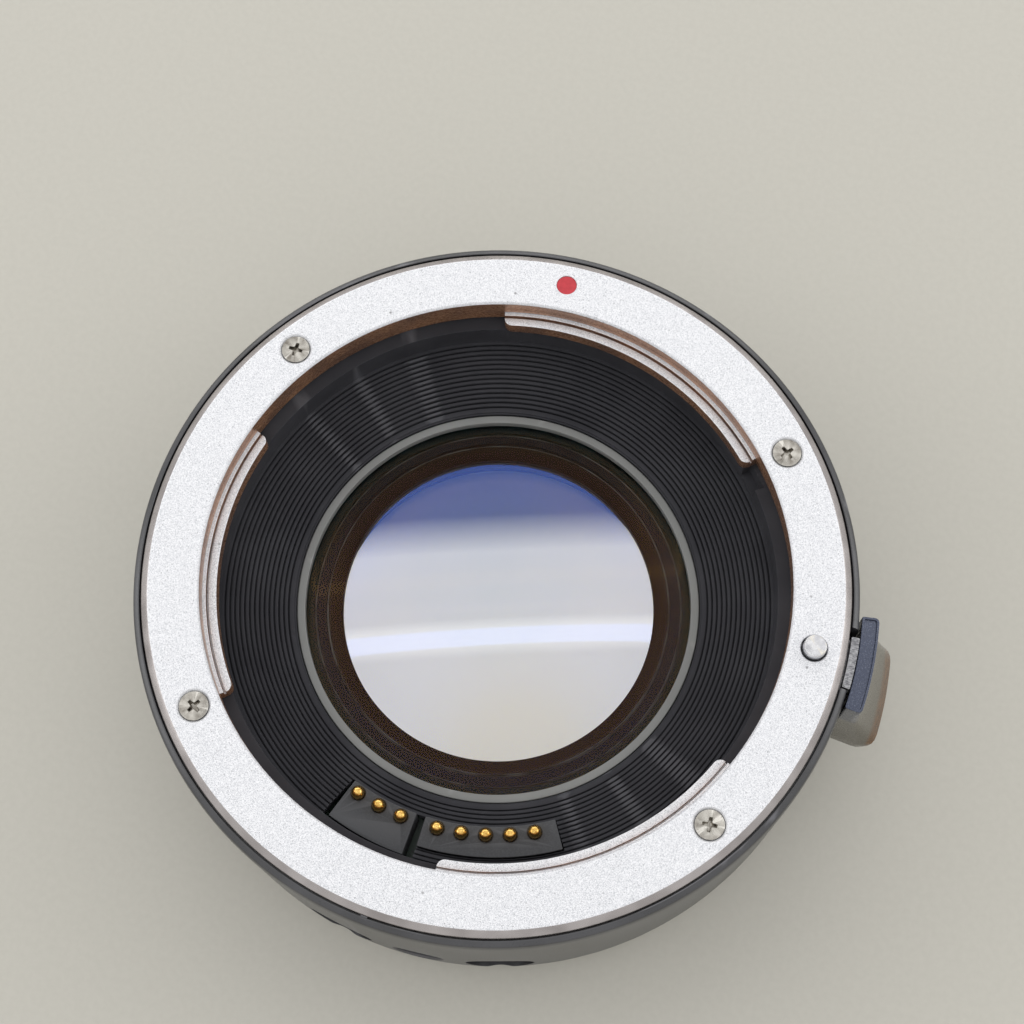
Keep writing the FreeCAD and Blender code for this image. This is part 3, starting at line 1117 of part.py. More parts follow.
def knob_section(thickness, half_width, z, corner):
    """Outline of the knob at one height: a curved strip that follows the barrel."""
    outer_r = KNOB_INNER_R + thickness
    half_angle = math.degrees(math.asin(half_width / outer_r))
    return sector_wire(KNOB_INNER_R, outer_r, LEVER_BEARING - half_angle,
                       LEVER_BEARING + half_angle, z, corner, KNOB_TOP_CORNER_R / 2.0)


def release_knob():
    """Glossy black thumb piece outside the barrel, flared towards its foot."""
    neck_z = KNOB_TOP_Z - KNOB_NECK_HEIGHT
    waist_z = neck_z - KNOB_FLARE_HEIGHT * 0.5
    flare_z = neck_z - KNOB_FLARE_HEIGHT
    foot_z = flare_z - KNOB_FOOT_HEIGHT
    top = knob_section(KNOB_TOP_THICKNESS, KNOB_TOP_HALF_WIDTH, neck_z, KNOB_TOP_CORNER_R)
    waist_corner = (KNOB_TOP_CORNER_R + KNOB_FLARE_CORNER_R) / 2.0
    waist = knob_section(KNOB_WAIST_THICKNESS, KNOB_WAIST_HALF_WIDTH, waist_z, waist_corner)
    flare = knob_section(KNOB_FLARE_THICKNESS, KNOB_FLARE_HALF_WIDTH, flare_z, KNOB_FLARE_CORNER_R)
    foot = knob_section(KNOB_FOOT_THICKNESS, KNOB_FLARE_HALF_WIDTH, foot_z, KNOB_FLARE_CORNER_R)
    neck = Part.Face(top).extrude(Vector(0, 0, KNOB_NECK_HEIGHT))
    skirt = Part.makeLoft([top, waist, flare], True, False)
    base = Part.makeLoft([flare, foot], True, True)
    shape = fused([neck, skirt, base])
    top_r = KNOB_INNER_R + KNOB_TOP_THICKNESS
    dish_half = math.degrees((KNOB_TOP_HALF_WIDTH - KNOB_DISH_RIM) / top_r)
    dish = sector(KNOB_INNER_R + KNOB_DISH_RIM, top_r - KNOB_DISH_RIM, LEVER_BEARING - dish_half,
                  LEVER_BEARING + dish_half, KNOB_TOP_Z - KNOB_DISH_DEPTH, KNOB_TOP_Z + OVERCUT)
    tools = [dish]
    for drop in KNOB_SCREW_DROPS:
        tip = KNOB_INNER_R + KNOB_SCREW_GRIP + SEAT_GAP
        hole = Part.makeCylinder(KNOB_SCREW_SHANK_R + SCREW_HOLE_GAP, tip - BARREL_INNER_R,
                                 Vector(BARREL_INNER_R, -ARM_SIDE_SHIFT, LEG_TOP_Z - drop),
                                 Vector(1, 0, 0))
        tools.append(at_bearing(hole, LEVER_BEARING))
    return cut_all(shape, tools)


def knob_screws():
    """Two small screws that fasten the knob to the leg of the arm, heads to the inside."""
    screws = []
    for drop in KNOB_SCREW_DROPS:
        height = LEG_TOP_Z - drop
        head_x = LEG_INNER_R - KNOB_SCREW_HEAD_HEIGHT - SEAT_GAP
        head = Part.makeCylinder(KNOB_SCREW_HEAD_R, KNOB_SCREW_HEAD_HEIGHT,
                                 Vector(head_x, -ARM_SIDE_SHIFT, height), Vector(1, 0, 0))
        shank = Part.makeCylinder(KNOB_SCREW_SHANK_R, KNOB_INNER_R + KNOB_SCREW_GRIP - head_x,
                                  Vector(head_x, -ARM_SIDE_SHIFT, height), Vector(1, 0, 0))
        screws.append(at_bearing(fused([head, shank]), LEVER_BEARING))
    return group(screws)


def sub_parts():
    """Every sub-part of the adapter by name."""
    large_bearings = pin_bearings(LARGE_PIN_CENTRE, LARGE_BLOCK_PINS)
    small_bearings = pin_bearings(SMALL_PIN_CENTRE, SMALL_BLOCK_PINS)
    parts = {
        "lens_mount_ring": lens_mount_ring(),
        "lens_mount_screws": lens_mount_screws(),
        "index_dot": index_dot(),
        "bayonet_springs": bayonet_springs(),
        "barrel": barrel(),
        "foot_thread_insert": foot_thread_insert(),
        "camera_index_dot": camera_index_dot(),
        "ribbed_baffle": ribbed_baffle(),
        "baffle_screws": baffle_screws(),
        "contact_block_large": contact_block(LARGE_BLOCK_OUTER_R, LARGE_BLOCK_SPAN, large_bearings),
        "contact_block_small": contact_block(SMALL_BLOCK_OUTER_R, SMALL_BLOCK_SPAN, small_bearings),
        "control_board": control_board(),
        "board_screws": board_screws(),
        "board_components": board_components(),
        "flex_cable": flex_cable(),
        "lens_cell": lens_cell(),
        "cell_screws": cell_screws(),
        "front_retaining_ring": front_retaining_ring(),
        "front_element": front_element(),
        "middle_front_element": middle_front_element(),
        "middle_rear_element": middle_rear_element(),
        "element_spacer": element_spacer(),
        "rear_element": rear_element(),
        "rear_retaining_ring": rear_retaining_ring(),
        "rear_plate": rear_plate(),
        "rear_plate_screws": rear_plate_screws(),
        "camera_mount_ring": camera_mount_ring(),
        "camera_mount_screws": camera_mount_screws(),
        "rear_contact_block": rear_contact_block(),
        "rear_contact_pads": rear_contact_pads(),
        "lock_pin": lock_pin(),
        "lock_pin_spring": lock_pin_spring(),
        "lever_arm": lever_arm(),
        "release_knob": release_knob(),
        "knob_screws": knob_screws(),
    }
    for number, pin in enumerate(contact_pins(), start=1):
        parts["contact_pin_%d" % number] = pin
    for number, spring in enumerate(contact_springs(), start=1):
        parts["contact_spring_%d" % number] = spring
    return parts


os.makedirs("parts", exist_ok=True)
for name, shape in sub_parts().items():
    shape.exportStep("parts/%s.step" % name)
    print("%s: %d solid(s), %.2f mm3, valid %s" % (name, len(shape.Solids), shape.Volume,
                                                   shape.isValid()))
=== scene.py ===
"""Lens mount adapter: the visible pieces, their finishes and a plain studio round them.

Sizes are in millimetres, as on a drawing, and become metres where a mesh is made. The frame is that
of the solids: +Z is the optical axis to the lens side, the red dot is on +Y, and a bearing is in
degrees clockwise from +Y seen from the lens side.
"""

import json
import logging
import math
from collections.abc import Callable, Iterable, Mapping, Sequence
from dataclasses import dataclass, field, replace
from enum import Enum

import bmesh
import bpy
from mathutils import Matrix, Vector


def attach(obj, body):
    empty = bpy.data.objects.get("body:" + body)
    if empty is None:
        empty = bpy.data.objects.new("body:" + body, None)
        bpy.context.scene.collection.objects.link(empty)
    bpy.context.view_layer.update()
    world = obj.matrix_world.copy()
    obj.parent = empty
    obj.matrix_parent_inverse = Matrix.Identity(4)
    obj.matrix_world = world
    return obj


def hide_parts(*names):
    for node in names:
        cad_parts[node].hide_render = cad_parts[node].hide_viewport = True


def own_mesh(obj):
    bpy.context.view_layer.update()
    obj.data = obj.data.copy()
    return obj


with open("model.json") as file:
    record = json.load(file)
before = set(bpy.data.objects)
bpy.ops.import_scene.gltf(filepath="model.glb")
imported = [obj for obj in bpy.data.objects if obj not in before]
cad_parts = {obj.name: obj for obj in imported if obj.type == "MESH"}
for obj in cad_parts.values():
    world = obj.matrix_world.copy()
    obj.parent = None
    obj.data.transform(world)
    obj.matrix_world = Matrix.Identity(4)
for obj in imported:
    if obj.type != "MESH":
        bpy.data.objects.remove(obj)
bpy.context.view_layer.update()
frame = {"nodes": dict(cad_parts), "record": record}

logging.basicConfig(level=logging.INFO, format="%(message)s")
LOG = logging.getLogger("adapter")

MM = 0.001
# Points of one mesh that lie closer together than these gaps, in metres, are merged.
WELD = 1e-7
FINE_WELD = 1e-8
SEAM_WELD = 2e-7
# A point counts as lying in a plane within this distance in metres.
SLACK = 1e-6
# How far a cutting tool stands over the face that it cuts, in millimetres.
OVER = 0.6
# Bearings that more than one piece has: lever, lens mount screws, posts, cell screws.
LEVER = 90.8
MOUNT_SCREWS = (53.6, 127.5, 232.5, 306.4)
POSTS = (60.0, 120.0, 240.0, 300.0)
CELL_SCREWS = (30.0, 150.0, 270.0)
BAFFLE_SCREWS = (20.0, 150.0, 270.0)
# Circles and radii that more than one piece has.
MOUNT_SCREW_CIRCLE = 29.4
POST_CIRCLE = 29.2
PIN_CIRCLE = 29.37
SPRING_CIRCLE = 29.95
CELL_SCREW_CIRCLE = 22.4
SMALL_HOLE = 0.65
Row = tuple[float, ...]
Flat = tuple[float, float]
Colour = tuple[float, float, float]
Piece = bpy.types.Object
Socket = bpy.types.NodeSocket


class Cut(Enum):
    """What a boolean step does with its tool."""

    AWAY = "DIFFERENCE"
    JOIN = "UNION"


def at(radius: float, bearing: float, height: float = 0.0) -> Vector:
    """Place in metres of a point given by radius and height in millimetres and bearing."""
    angle = math.radians(bearing)
    return Vector((radius * math.sin(angle), radius * math.cos(angle), height)) * MM


def srgb(red: int, green: int, blue: int) -> Colour:
    """Linear colour from the eight-bit values that a screen shows."""
    def linear(value: int) -> float:
        """One channel made linear."""
        share = value / 255.0
        return share / 12.92 if share <= 0.04045 else ((share + 0.055) / 1.055) ** 2.4

    return linear(red), linear(green), linear(blue)


def eased(corners: Sequence[Row], steps: int = 3, closed: bool = True) -> list[Flat]:
    """Outline with its corners rounded.

    Args:
        corners: Points (radius, height) or (radius, height, rounding) in millimetres.
        steps: Straight runs in each rounding.
        closed: Whether the last corner runs back to the first.

    Returns:
        The points of the rounded outline.
    """
    outline: list[Flat] = []
    count = len(corners)
    for index, corner in enumerate(corners):
        here = Vector(corner[:2])
        rounding = corner[2] if len(corner) > 2 else 0.0
        inner = closed or 0 < index < count - 1
        if rounding <= 0.0 or not inner:
            outline.append((here.x, here.y))
            continue
        before = Vector(corners[index - 1][:2]) - here
        after = Vector(corners[(index + 1) % count][:2]) - here
        back = min(rounding, before.length * 0.49, after.length * 0.49)
        start, end = here + before.normalized() * back, here + after.normalized() * back
        for step in range(steps + 1):
            share = step / steps
            spot = start * (1 - share) ** 2 + here * 2 * share * (1 - share) + end * share ** 2
            outline.append((spot.x, spot.y))
    return outline


class Bench:
    """Modelling steps with Blender's own operators. Sizes go in as millimetres."""

    @staticmethod
    def pick(piece: Piece) -> None:
        """Select one piece alone and make it active."""
        bpy.ops.object.select_all(action="DESELECT")
        piece.select_set(True)
        bpy.context.view_layer.objects.active = piece

    @staticmethod
    def named(name: str) -> Piece:
        """Name the active piece and its mesh."""
        piece = bpy.context.object
        piece.name = name
        piece.data.name = name
        return piece

    @classmethod
    def start(cls, name: str) -> Piece:
        """Begin a piece as a small plane at the origin, open in edit mode and merged to a point."""
        bpy.ops.object.select_all(action="DESELECT")
        bpy.ops.mesh.primitive_plane_add(size=MM, location=(0.0, 0.0, 0.0))
        piece = cls.named(name)
        bpy.ops.object.mode_set(mode="EDIT")
        bpy.ops.mesh.select_all(action="SELECT")
        bpy.ops.mesh.merge(type="CENTER")
        return piece

    @staticmethod
    def draw(route: Sequence[Vector], closed: bool) -> None:
        """Extrude the selected point along a route.

        Args:
            route: Points in metres. The selected point is moved to the first.
            closed: Whether the chain runs back to its first point.
        """
        bpy.ops.transform.translate(value=route[0])
        here = route[0]
        for point in list(route[1:]) + ([route[0]] if closed else []):
            bpy.ops.mesh.extrude_region_move(TRANSFORM_OT_translate={"value": point - here})
            here = point

    @staticmethod
    def weld(gap: float = WELD) -> None:
        """Select the whole open mesh and merge points that lie closer than a gap."""
        bpy.ops.mesh.select_all(action="SELECT")
        bpy.ops.mesh.remove_doubles(threshold=gap)

    @classmethod
    def close(cls, gap: float = WELD, capped: bool = False) -> None:
        """Merge doubles, turn the faces outwards and leave edit mode.

        Args:
            gap: Points closer than this, in metres, are merged.
            capped: Whether open ends are filled first.
        """
        if capped:
            bpy.ops.mesh.select_all(action="SELECT")
            bpy.ops.mesh.fill_holes(sides=0)
        cls.weld(gap)
        bpy.ops.mesh.normals_make_consistent(inside=False)
        bpy.ops.object.mode_set(mode="OBJECT")

    @staticmethod
    def choose(piece: Piece, wanted: Callable[[Vector], bool]) -> None:
        """Select the points of the open mesh whose place passes a test.

        Args:
            piece: The piece, open in edit mode.
            wanted: The test of a place in metres.
        """
        mesh = bmesh.from_edit_mesh(piece.data)
        bpy.ops.mesh.select_all(action="DESELECT")
        for vert in mesh.verts:
            vert.select_set(wanted(vert.co))
        mesh.select_flush(True)
        bmesh.update_edit_mesh(piece.data)

    @classmethod
    def turned(cls, name: str, outline: Sequence[Flat], steps: int = 256, closed: bool = True,
               centre: Vector | None = None) -> Piece:
        """Spin an outline round an upright axis.

        Args:
            name: Name of the piece.
            outline: Points (radius, height) in millimetres.
            steps: Steps of the spin.
            closed: False for an outline that starts and ends on the axis.
            centre: Axis of the spin in metres, the optical axis if not given.

        Returns:
            The piece, with its place in its mesh.
        """
        middle = centre or Vector((0.0, 0.0, 0.0))
        piece = cls.start(name)
        cls.draw([middle + at(radius, 0.0, height) for radius, height in outline], closed)
        cls.weld()
        bpy.ops.mesh.spin(steps=steps, angle=2.0 * math.pi,
                          center=(middle.x, middle.y, 0.0), axis=(0.0, 0.0, 1.0))
        cls.close()
        return piece

    @classmethod
    def plug(cls, name: str, radius: float, high: float, low: float, steps: int = 32,
             centre: Vector | None = None) -> Piece:
        """Plain cylinder between two heights, its axis in metres, mostly to cut a hole with."""
        outline = [(0.0, high), (radius, high), (radius, low), (0.0, low)]
        return cls.turned(name, outline, steps, False, centre)

    @classmethod
    def plugs(cls, name: str, radius: float, heights: Flat, circle: float,
              bearings: Sequence[float]) -> list[Piece]:
        """Equal cylinders on a circle, heights from the top down."""
        return [cls.plug(f"{name}_{number}", radius, *heights, centre=at(circle, bearing))
                for number, bearing in enumerate(bearings)]

    @classmethod
    def drill(cls, name: str, radius: float, lip: float, depth: float) -> Piece:
        """Tool for a round hole, its mouth at height 0 with a chamfer as wide as the lip."""
        outline = [(0.0, OVER), (radius + lip, OVER), (radius + lip, 0.0), (radius, -lip),
                   (radius, -depth), (0.0, -depth)]
        return cls.turned(name, outline, 64, False)

    @classmethod
    def wound(cls, name: str, ring: Sequence[Vector], pitch: float, turns: int, steps: int,
              gap: float = WELD) -> Piece:
        """Wind a closed ring of points up the optical axis.

        Args:
            name: Name of the piece.
            ring: Points in metres in an upright plane.
            pitch: Rise of one turn in millimetres.
            turns: Number of turns.
            steps: Steps in one turn.
            gap: Points closer than this, in metres, are merged.

        Returns:
            The helix, closed at both ends.
        """
        piece = cls.start(name)
        cls.draw(ring, True)
        cls.weld(gap)
        bpy.ops.object.mode_set(mode="OBJECT")
        cls.modify(piece, "SCREW", screw_offset=pitch * MM, iterations=turns, steps=steps,
                   render_steps=steps)
        bpy.ops.object.mode_set(mode="EDIT")
        cls.close(gap, capped=True)
        return piece

    @classmethod
    def swept(cls, name: str, outline: Sequence[Flat], stations: Sequence[Flat],
              limit: float) -> Piece:
        """Spin an outline from station to station and close both ends.

        Args:
            name: Name of the piece.
            outline: Closed outline of points (radius, height) in millimetres.
            stations: Bearing of each station and how far its inner side is drawn back.
            limit: Radius up to which points count as the inner side.

        Returns:
            The closed piece.
        """
        piece = cls.start(name)
        cls.draw([at(radius, stations[0][0], height) for radius, height in outline], True)
        cls.weld()
        for (here, _), (there, _) in zip(stations, stations[1:]):
            bpy.ops.mesh.spin(steps=1, angle=math.radians(there - here),
                              center=(0.0, 0.0, 0.0), axis=(0.0, 0.0, 1.0))
        for bearing, back in stations:
            if back <= 0.0:
                continue
            along = at(1.0, bearing).normalized()

            def inner(place: Vector) -> bool:
                """Whether a place lies on this station's inner side."""
                flat = Vector((place.x, place.y, 0.0))
                return (flat.length < limit * MM
                        and (flat - along * flat.length).length < SLACK)

            cls.choose(piece, inner)
            bpy.ops.transform.translate(value=along * back * MM)
        cls.close(capped=True)
        return piece

    @classmethod
    def prism(cls, name: str, plan: Sequence[Vector], height: float, taper: float = 1.0,
              about: Vector | None = None) -> Piece:
        """Draw a flat plan, fill it and extrude it upwards or downwards.

        Args:
            name: Name of the piece.
            plan: Points in metres, all at one height.
            height: Way of the extrusion in millimetres, negative for downwards.
            taper: Size of the far face against the near one.
            about: Centre of the taper in metres.

        Returns:
            The closed piece.
        """
        piece = cls.start(name)
        cls.draw(plan, closed=True)
        cls.weld()
        bpy.ops.mesh.edge_face_add()
        lift = Vector((0.0, 0.0, height * MM))
        bpy.ops.mesh.extrude_region_move(TRANSFORM_OT_translate={"value": lift})
        if taper != 1.0:
            bpy.ops.transform.resize(value=(taper, taper, 1.0), center_override=about or lift)
        cls.close()
        return piece

    @classmethod
    def lofted(cls, name: str, rings: Sequence[Sequence[Vector]]) -> Piece:
        """Bridge closed rings of points into a closed skin.

        Args:
            name: Name of the piece.
            rings: Rings of equally many points in metres, each flat, from the lowest upwards.

        Returns:
            The closed piece.
        """
        piece = cls.start(name)
        for number, ring in enumerate(rings):
            if number:
                bpy.ops.mesh.select_all(action="DESELECT")
                bpy.ops.mesh.primitive_plane_add(size=MM * 0.01, location=(0.0, 0.0, 0.0))
                bpy.ops.mesh.merge(type="CENTER")
            cls.draw(ring, closed=True)
            cls.weld(FINE_WELD)
        for lower, upper in zip(rings, rings[1:]):
            low, high = lower[0].z - SLACK, upper[0].z + SLACK
            cls.choose(piece, lambda place: low < place.z < high)
            bpy.ops.mesh.bridge_edge_loops()
        cls.close(capped=True)
        return piece

    @classmethod
    def sector(cls, name: str, radii: Flat, bearings: Flat, heights: Flat, corners: Flat = (0.1, 0.1),
               ease: float = 0.05, step: float = 1.2) -> Piece:
        """Upright piece of a ring with rounded corners and eased edges.

        Args:
            name: Name of the piece.
            radii: Inner and outer radius.
            bearings: First and last bearing in degrees.
            heights: Bottom and top.
            corners: Rounding of the inner and the outer corners in plan.
            ease: Rounding of the top and bottom edges.
            step: Degrees between the points of the long arcs.

        Returns:
            The finished solid piece.
        """
        runs = max(2, round((bearings[1] - bearings[0]) / step))
        plan = cls.sector_plan(radii, bearings, heights[0], corners, runs)
        piece = cls.prism(name, plan, heights[1] - heights[0])
        if ease > 0.0:
            cls.bevel(piece, ease)
        return piece

    @staticmethod
    def sector_plan(radii: Flat, bearings: Flat, height: float, corners: Flat,
                    runs: int, rounds: int = 5) -> list[Vector]:
        """Plan of a ring sector as one ring of points.

        Args:
            radii: Inner and outer radius.
            bearings: First and last bearing.
            height: Height of the plan.
            corners: Rounding of the inner and the outer corners.
            runs: Straight runs in each arc.
            rounds: Straight runs in each corner.

        Returns:
            The points in metres, the inner side first.
        """
        start, end = bearings
        sides: list[list[Vector]] = []
        for radius, size, inward in ((radii[0], corners[0], 1.0), (radii[1], corners[1], -1.0)):
            turn = math.degrees(size / radius)
            side: list[Vector] = []
            for bearing, sign in ((start, 1.0), (end, -1.0)):
                tip = at(radius, bearing, height)
                across = at(radius + inward * size, bearing, height)
                along = at(radius, bearing + sign * turn, height)
                first, last = (across, along) if sign > 0.0 else (along, across)
                shares = [spot / rounds for spot in range(rounds + 1)]
                side += [first * (1 - share) ** 2 + tip * 2 * share * (1 - share)
                         + last * share ** 2 for share in shares]
                if sign > 0.0:
                    way = end - start - 2.0 * turn
                    side += [at(radius, start + turn + way * number / runs, height)
                             for number in range(1, runs)]
            sides.append(side)
        return sides[0] + sides[1][::-1]

    @classmethod
    def box(cls, name: str, radial: Flat, across: Flat, heights: Flat, bearing: float,
            ease: float = 0.0) -> Piece:
        """Block whose sides lie along and across one bearing.

        Args:
            name: Name of the piece.
            radial: Nearest and farthest distance from the axis along the bearing.
            across: Extent square to it, positive towards smaller bearings.
            heights: Bottom and top.
            bearing: Bearing in degrees.
            ease: Rounding of all edges.

        Returns:
            The block.
        """
        middle = Vector((sum(radial), sum(across), sum(heights))) * 0.5 * MM
        size = Vector((radial[1] - radial[0], across[1] - across[0], heights[1] - heights[0])) * MM
        bpy.ops.object.select_all(action="DESELECT")
        bpy.ops.mesh.primitive_cube_add(size=1.0, location=middle, scale=size)
        piece = cls.named(name)
        cls.settle(piece)
        piece.rotation_euler.z = math.radians(90.0 - bearing)
        cls.settle(piece)
        if ease > 0.0:
            cls.bevel(piece, ease)
        return piece

    @classmethod
    def settle(cls, piece: Piece) -> None:
        """Put the object's place, turn and size into its mesh."""
        cls.pick(piece)
        bpy.ops.object.transform_apply(location=True, rotation=True, scale=True)

    @classmethod
    def turn(cls, piece: Piece, matrix: Matrix) -> Piece:
        """Move and turn a piece, with its place kept in its mesh."""
        piece.matrix_world = matrix
        cls.settle(piece)
        return piece

    @classmethod
    def copy(cls, piece: Piece, name: str, matrix: Matrix) -> Piece:
        """Copy of a piece with its own mesh, moved by a matrix."""
        cls.pick(piece)
        bpy.ops.object.duplicate()
        return cls.turn(cls.named(name), matrix)

    @classmethod
    def join(cls, name: str, pieces: Sequence[Piece]) -> Piece:
        """Several separate shells as one piece, with no boolean."""
        bpy.ops.object.select_all(action="DESELECT")
        for piece in pieces:
            piece.select_set(True)
        bpy.context.view_layer.objects.active = pieces[0]
        if len(pieces) > 1:
            bpy.ops.object.join()
        return cls.named(name)

    @classmethod
    def row(cls, first: Piece, spots: Sequence[Matrix]) -> Piece:
        """One piece of copies.

        Args:
            first: The model, which is used up and gives the name.
            spots: Where its copies go.

        Returns:
            The copies as one piece, named as the model with an s.
        """
        name = first.name
        twins = [cls.copy(first, f"{name}_{number}", spot) for number, spot in enumerate(spots)]
        bpy.data.objects.remove(first)
        return cls.join(name + "s", twins)

    @classmethod
    def modify(cls, piece: Piece, kind: str, **settings: object) -> None:
        """Give a piece a modifier and apply it.

        Args:
            piece: The piece.
            kind: Type of the modifier.
            **settings: Its settings.
        """
        cls.pick(piece)
        bpy.ops.object.modifier_add(type=kind)
        step = piece.modifiers[-1]
        for name, value in settings.items():
            setattr(step, name, value)
        bpy.ops.object.modifier_apply(modifier=step.name)

    @classmethod
    def bevel(cls, piece: Piece, width: float) -> None:
        """Round the edges of a piece that are sharper than 40 degrees, width in millimetres."""
        cls.modify(piece, "BEVEL", width=width * MM, segments=2, limit_method="ANGLE",
                   angle_limit=math.radians(40.0), use_clamp_overlap=False)

    @classmethod
    def boolean(cls, piece: Piece, tools: Sequence[Piece], kind: Cut) -> Piece:
        """Join tools to a piece, or cut them away, one after another.

        Args:
            piece: The piece that stays.
            tools: The pieces that are used up.
            kind: Whether they are cut away or joined.

        Returns:
            The changed piece.
        """
        for tool in tools:
            cls.modify(piece, "BOOLEAN", operation=kind.value, solver="EXACT", object=tool)
            bpy.data.objects.remove(tool)
        cls.pick(piece)
        bpy.ops.object.mode_set(mode="EDIT")
        cls.weld(SEAM_WELD)
        bpy.ops.object.mode_set(mode="OBJECT")
        return piece

    @classmethod
    def smooth(cls, piece: Piece, angle: float = 35.0) -> None:
        """Shade round faces smooth, keep sharp edges sharp and flat faces flat."""
        cls.pick(piece)
        bpy.ops.object.shade_smooth_by_angle(angle=math.radians(angle))
        cls.modify(piece, "WEIGHTED_NORMAL", keep_sharp=True)


def add_node(tree: bpy.types.NodeTree, kind: str, sockets: Mapping[int | str, object],
             out: int | str = 0, **settings: str) -> Socket:
    """Add a shader node and fill its inputs.

    Args:
        tree: Tree of a material or of the world.
        kind: Type of the node, without the word ShaderNode.
        sockets: What goes into its inputs. A socket is linked, a value is set.
        out: Which output is wanted.
        **settings: Settings of the node, such as its operation.

    Returns:
        The wanted output.
    """
    node = tree.nodes.new("ShaderNode" + kind)
    for name, value in settings.items():
        setattr(node, name, value)
    for key, value in sockets.items():
        if isinstance(value, Socket):
            tree.links.new(value, node.inputs[key])
        else:
            node.inputs[key].default_value = value
    return node.outputs[out]


class Recipe:
    """Node tree of one finish round a Principled shader, patterned in object coordinates."""

    def __init__(self, name: str) -> None:
        """Start a material of that name."""
        self.material = bpy.data.materials.new(name)
        self.material.use_nodes = True
        self.tree = self.material.node_tree
        self.shader = self.tree.nodes["Principled BSDF"]
        self.place = self.add("TexCoord", {}, "Object")

    def add(self, kind: str, sockets: Mapping[int | str, object], out: int | str = 0,
            **settings: str) -> Socket:
        """Add a node to this tree, see add_node."""
        return add_node(self.tree, kind, sockets, out, **settings)

    def uniform(self, **values: float | Colour) -> None:
        """Set sockets of the shader that are the same all over, named with underscores."""
        for name, value in values.items():
            socket = self.shader.inputs[name.replace("_", " ")]
            socket.default_value = (*value, 1.0) if isinstance(value, tuple) else value

    def feed(self, socket: str, source: Socket) -> None:
        """Link a pattern into a socket of the shader."""
        self.tree.links.new(source, self.shader.inputs[socket])

    def noise(self, grain: float, detail: float = 2.0, stretch: Vector | None = None) -> Socket:
        """Noise whose patches are about grain millimetres wide, stretched per axis if asked for."""
        place = self.place
        if stretch is not None:
            place = self.add("Mapping", {"Scale": stretch, "Vector": self.place})
        return self.add("TexNoise", {"Scale": 1.0 / (grain * MM), "Detail": detail,
                                     "Roughness": 0.55, "Vector": place}, "Fac")

    def cells(self, pitch: float, spread: float = 1.0) -> Socket:
        """Distance to the nearest of scattered points, pitch millimetres apart."""
        return self.add("TexVoronoi", {"Scale": 1.0 / (pitch * MM), "Randomness": spread,
                                       "Vector": self.place}, "Distance")

    def radius(self) -> Socket:
        """Distance from the optical axis in metres."""
        flat = self.add("VectorMath", {0: self.place, 1: (1.0, 1.0, 0.0)}, operation="MULTIPLY")
        return self.add("VectorMath", {0: flat}, "Value", operation="LENGTH")

    def height(self) -> Socket:
        """Height over the rest plane in metres."""
        return self.add("SeparateXYZ", {0: self.place}, "Z")

    def rings(self, pitch: float) -> Socket:
        """Fine rings round the optical axis, as a turning tool leaves them."""
        phase = self.combine("MULTIPLY", self.radius(), 2.0 * math.pi / (pitch * MM))
        return self.add("Math", {0: phase}, operation="SINE")

    def spread(self, source: Socket, low: float, high: float, to_low: float = 0.0,
               to_high: float = 1.0) -> Socket:
        """Map a range of a pattern to another range, clamped."""
        return self.add("MapRange", {"Value": source, "From Min": low, "From Max": high,
                                     "To Min": to_low, "To Max": to_high}, "Result")

    def blend(self, share: Socket, first: Colour | Socket, second: Colour | Socket) -> Socket:
        """Mix two colours by a pattern from 0 to 1."""
        ends = [(*colour, 1.0) if isinstance(colour, tuple) else colour
                for colour in (first, second)]
        return self.add("Mix", {0: share, 6: ends[0], 7: ends[1]}, 2, data_type="RGBA")

    def mottle(self, source: Socket, low: float, high: float, first: Colour | Socket,
               second: Colour | Socket) -> Socket:
        """Go from one colour to another as a pattern goes from low to high."""
        return self.blend(self.spread(source, low, high), first, second)

    def combine(self, kind: str, first: Socket, second: Socket | float) -> Socket:
        """Join two patterns with a plain sum, product, smallest or largest."""
        return self.add("Math", {0: first, 1: second}, operation=kind)

    def edges(self, low: float = 0.52, high: float = 0.6) -> Socket:
        """How much a place stands out as an edge, for wear."""
        return self.spread(self.add("NewGeometry", {}, "Pointiness"), low, high)

    def relief(self, source: Socket, depth: float, strength: float = 0.5) -> None:
        """Bump of a pattern, depth in millimetres."""
        self.feed("Normal", self.add("Bump", {"Distance": depth * MM, "Strength": strength,
                                              "Height": source}, "Normal"))

    def surface(self, colour: Socket, grit: Socket, roughness: Flat, depth: float = 0.0,
                strength: float = 0.5) -> None:
        """Colour the surface, and let a grit drive its roughness and its relief.

        Args:
            colour: Colour of each place.
            grit: Pattern from 0 to 1.
            roughness: Roughness where the grit is weak and where it is strong.
            depth: Depth of the relief in millimetres, none if 0.
            strength: Strength of the relief.
        """
        self.feed("Base Color", colour)
        self.feed("Roughness", self.spread(grit, 0.3, 0.7, *roughness))
        if depth > 0.0:
            self.relief(grit, depth, strength)


class Finish:
    """A finish of the adapter. Its material is made once and shared."""

    name: str

    def material(self) -> bpy.types.Material:
        """The material of this finish."""
        known = bpy.data.materials.get(self.name)
        if known is not None:
            return known
        recipe = Recipe(self.name)
        self.mix(recipe)
        return recipe.material

    def mix(self, recipe: Recipe) -> None:
        """Fill the recipe. Each finish does it in its own way."""
        raise NotImplementedError


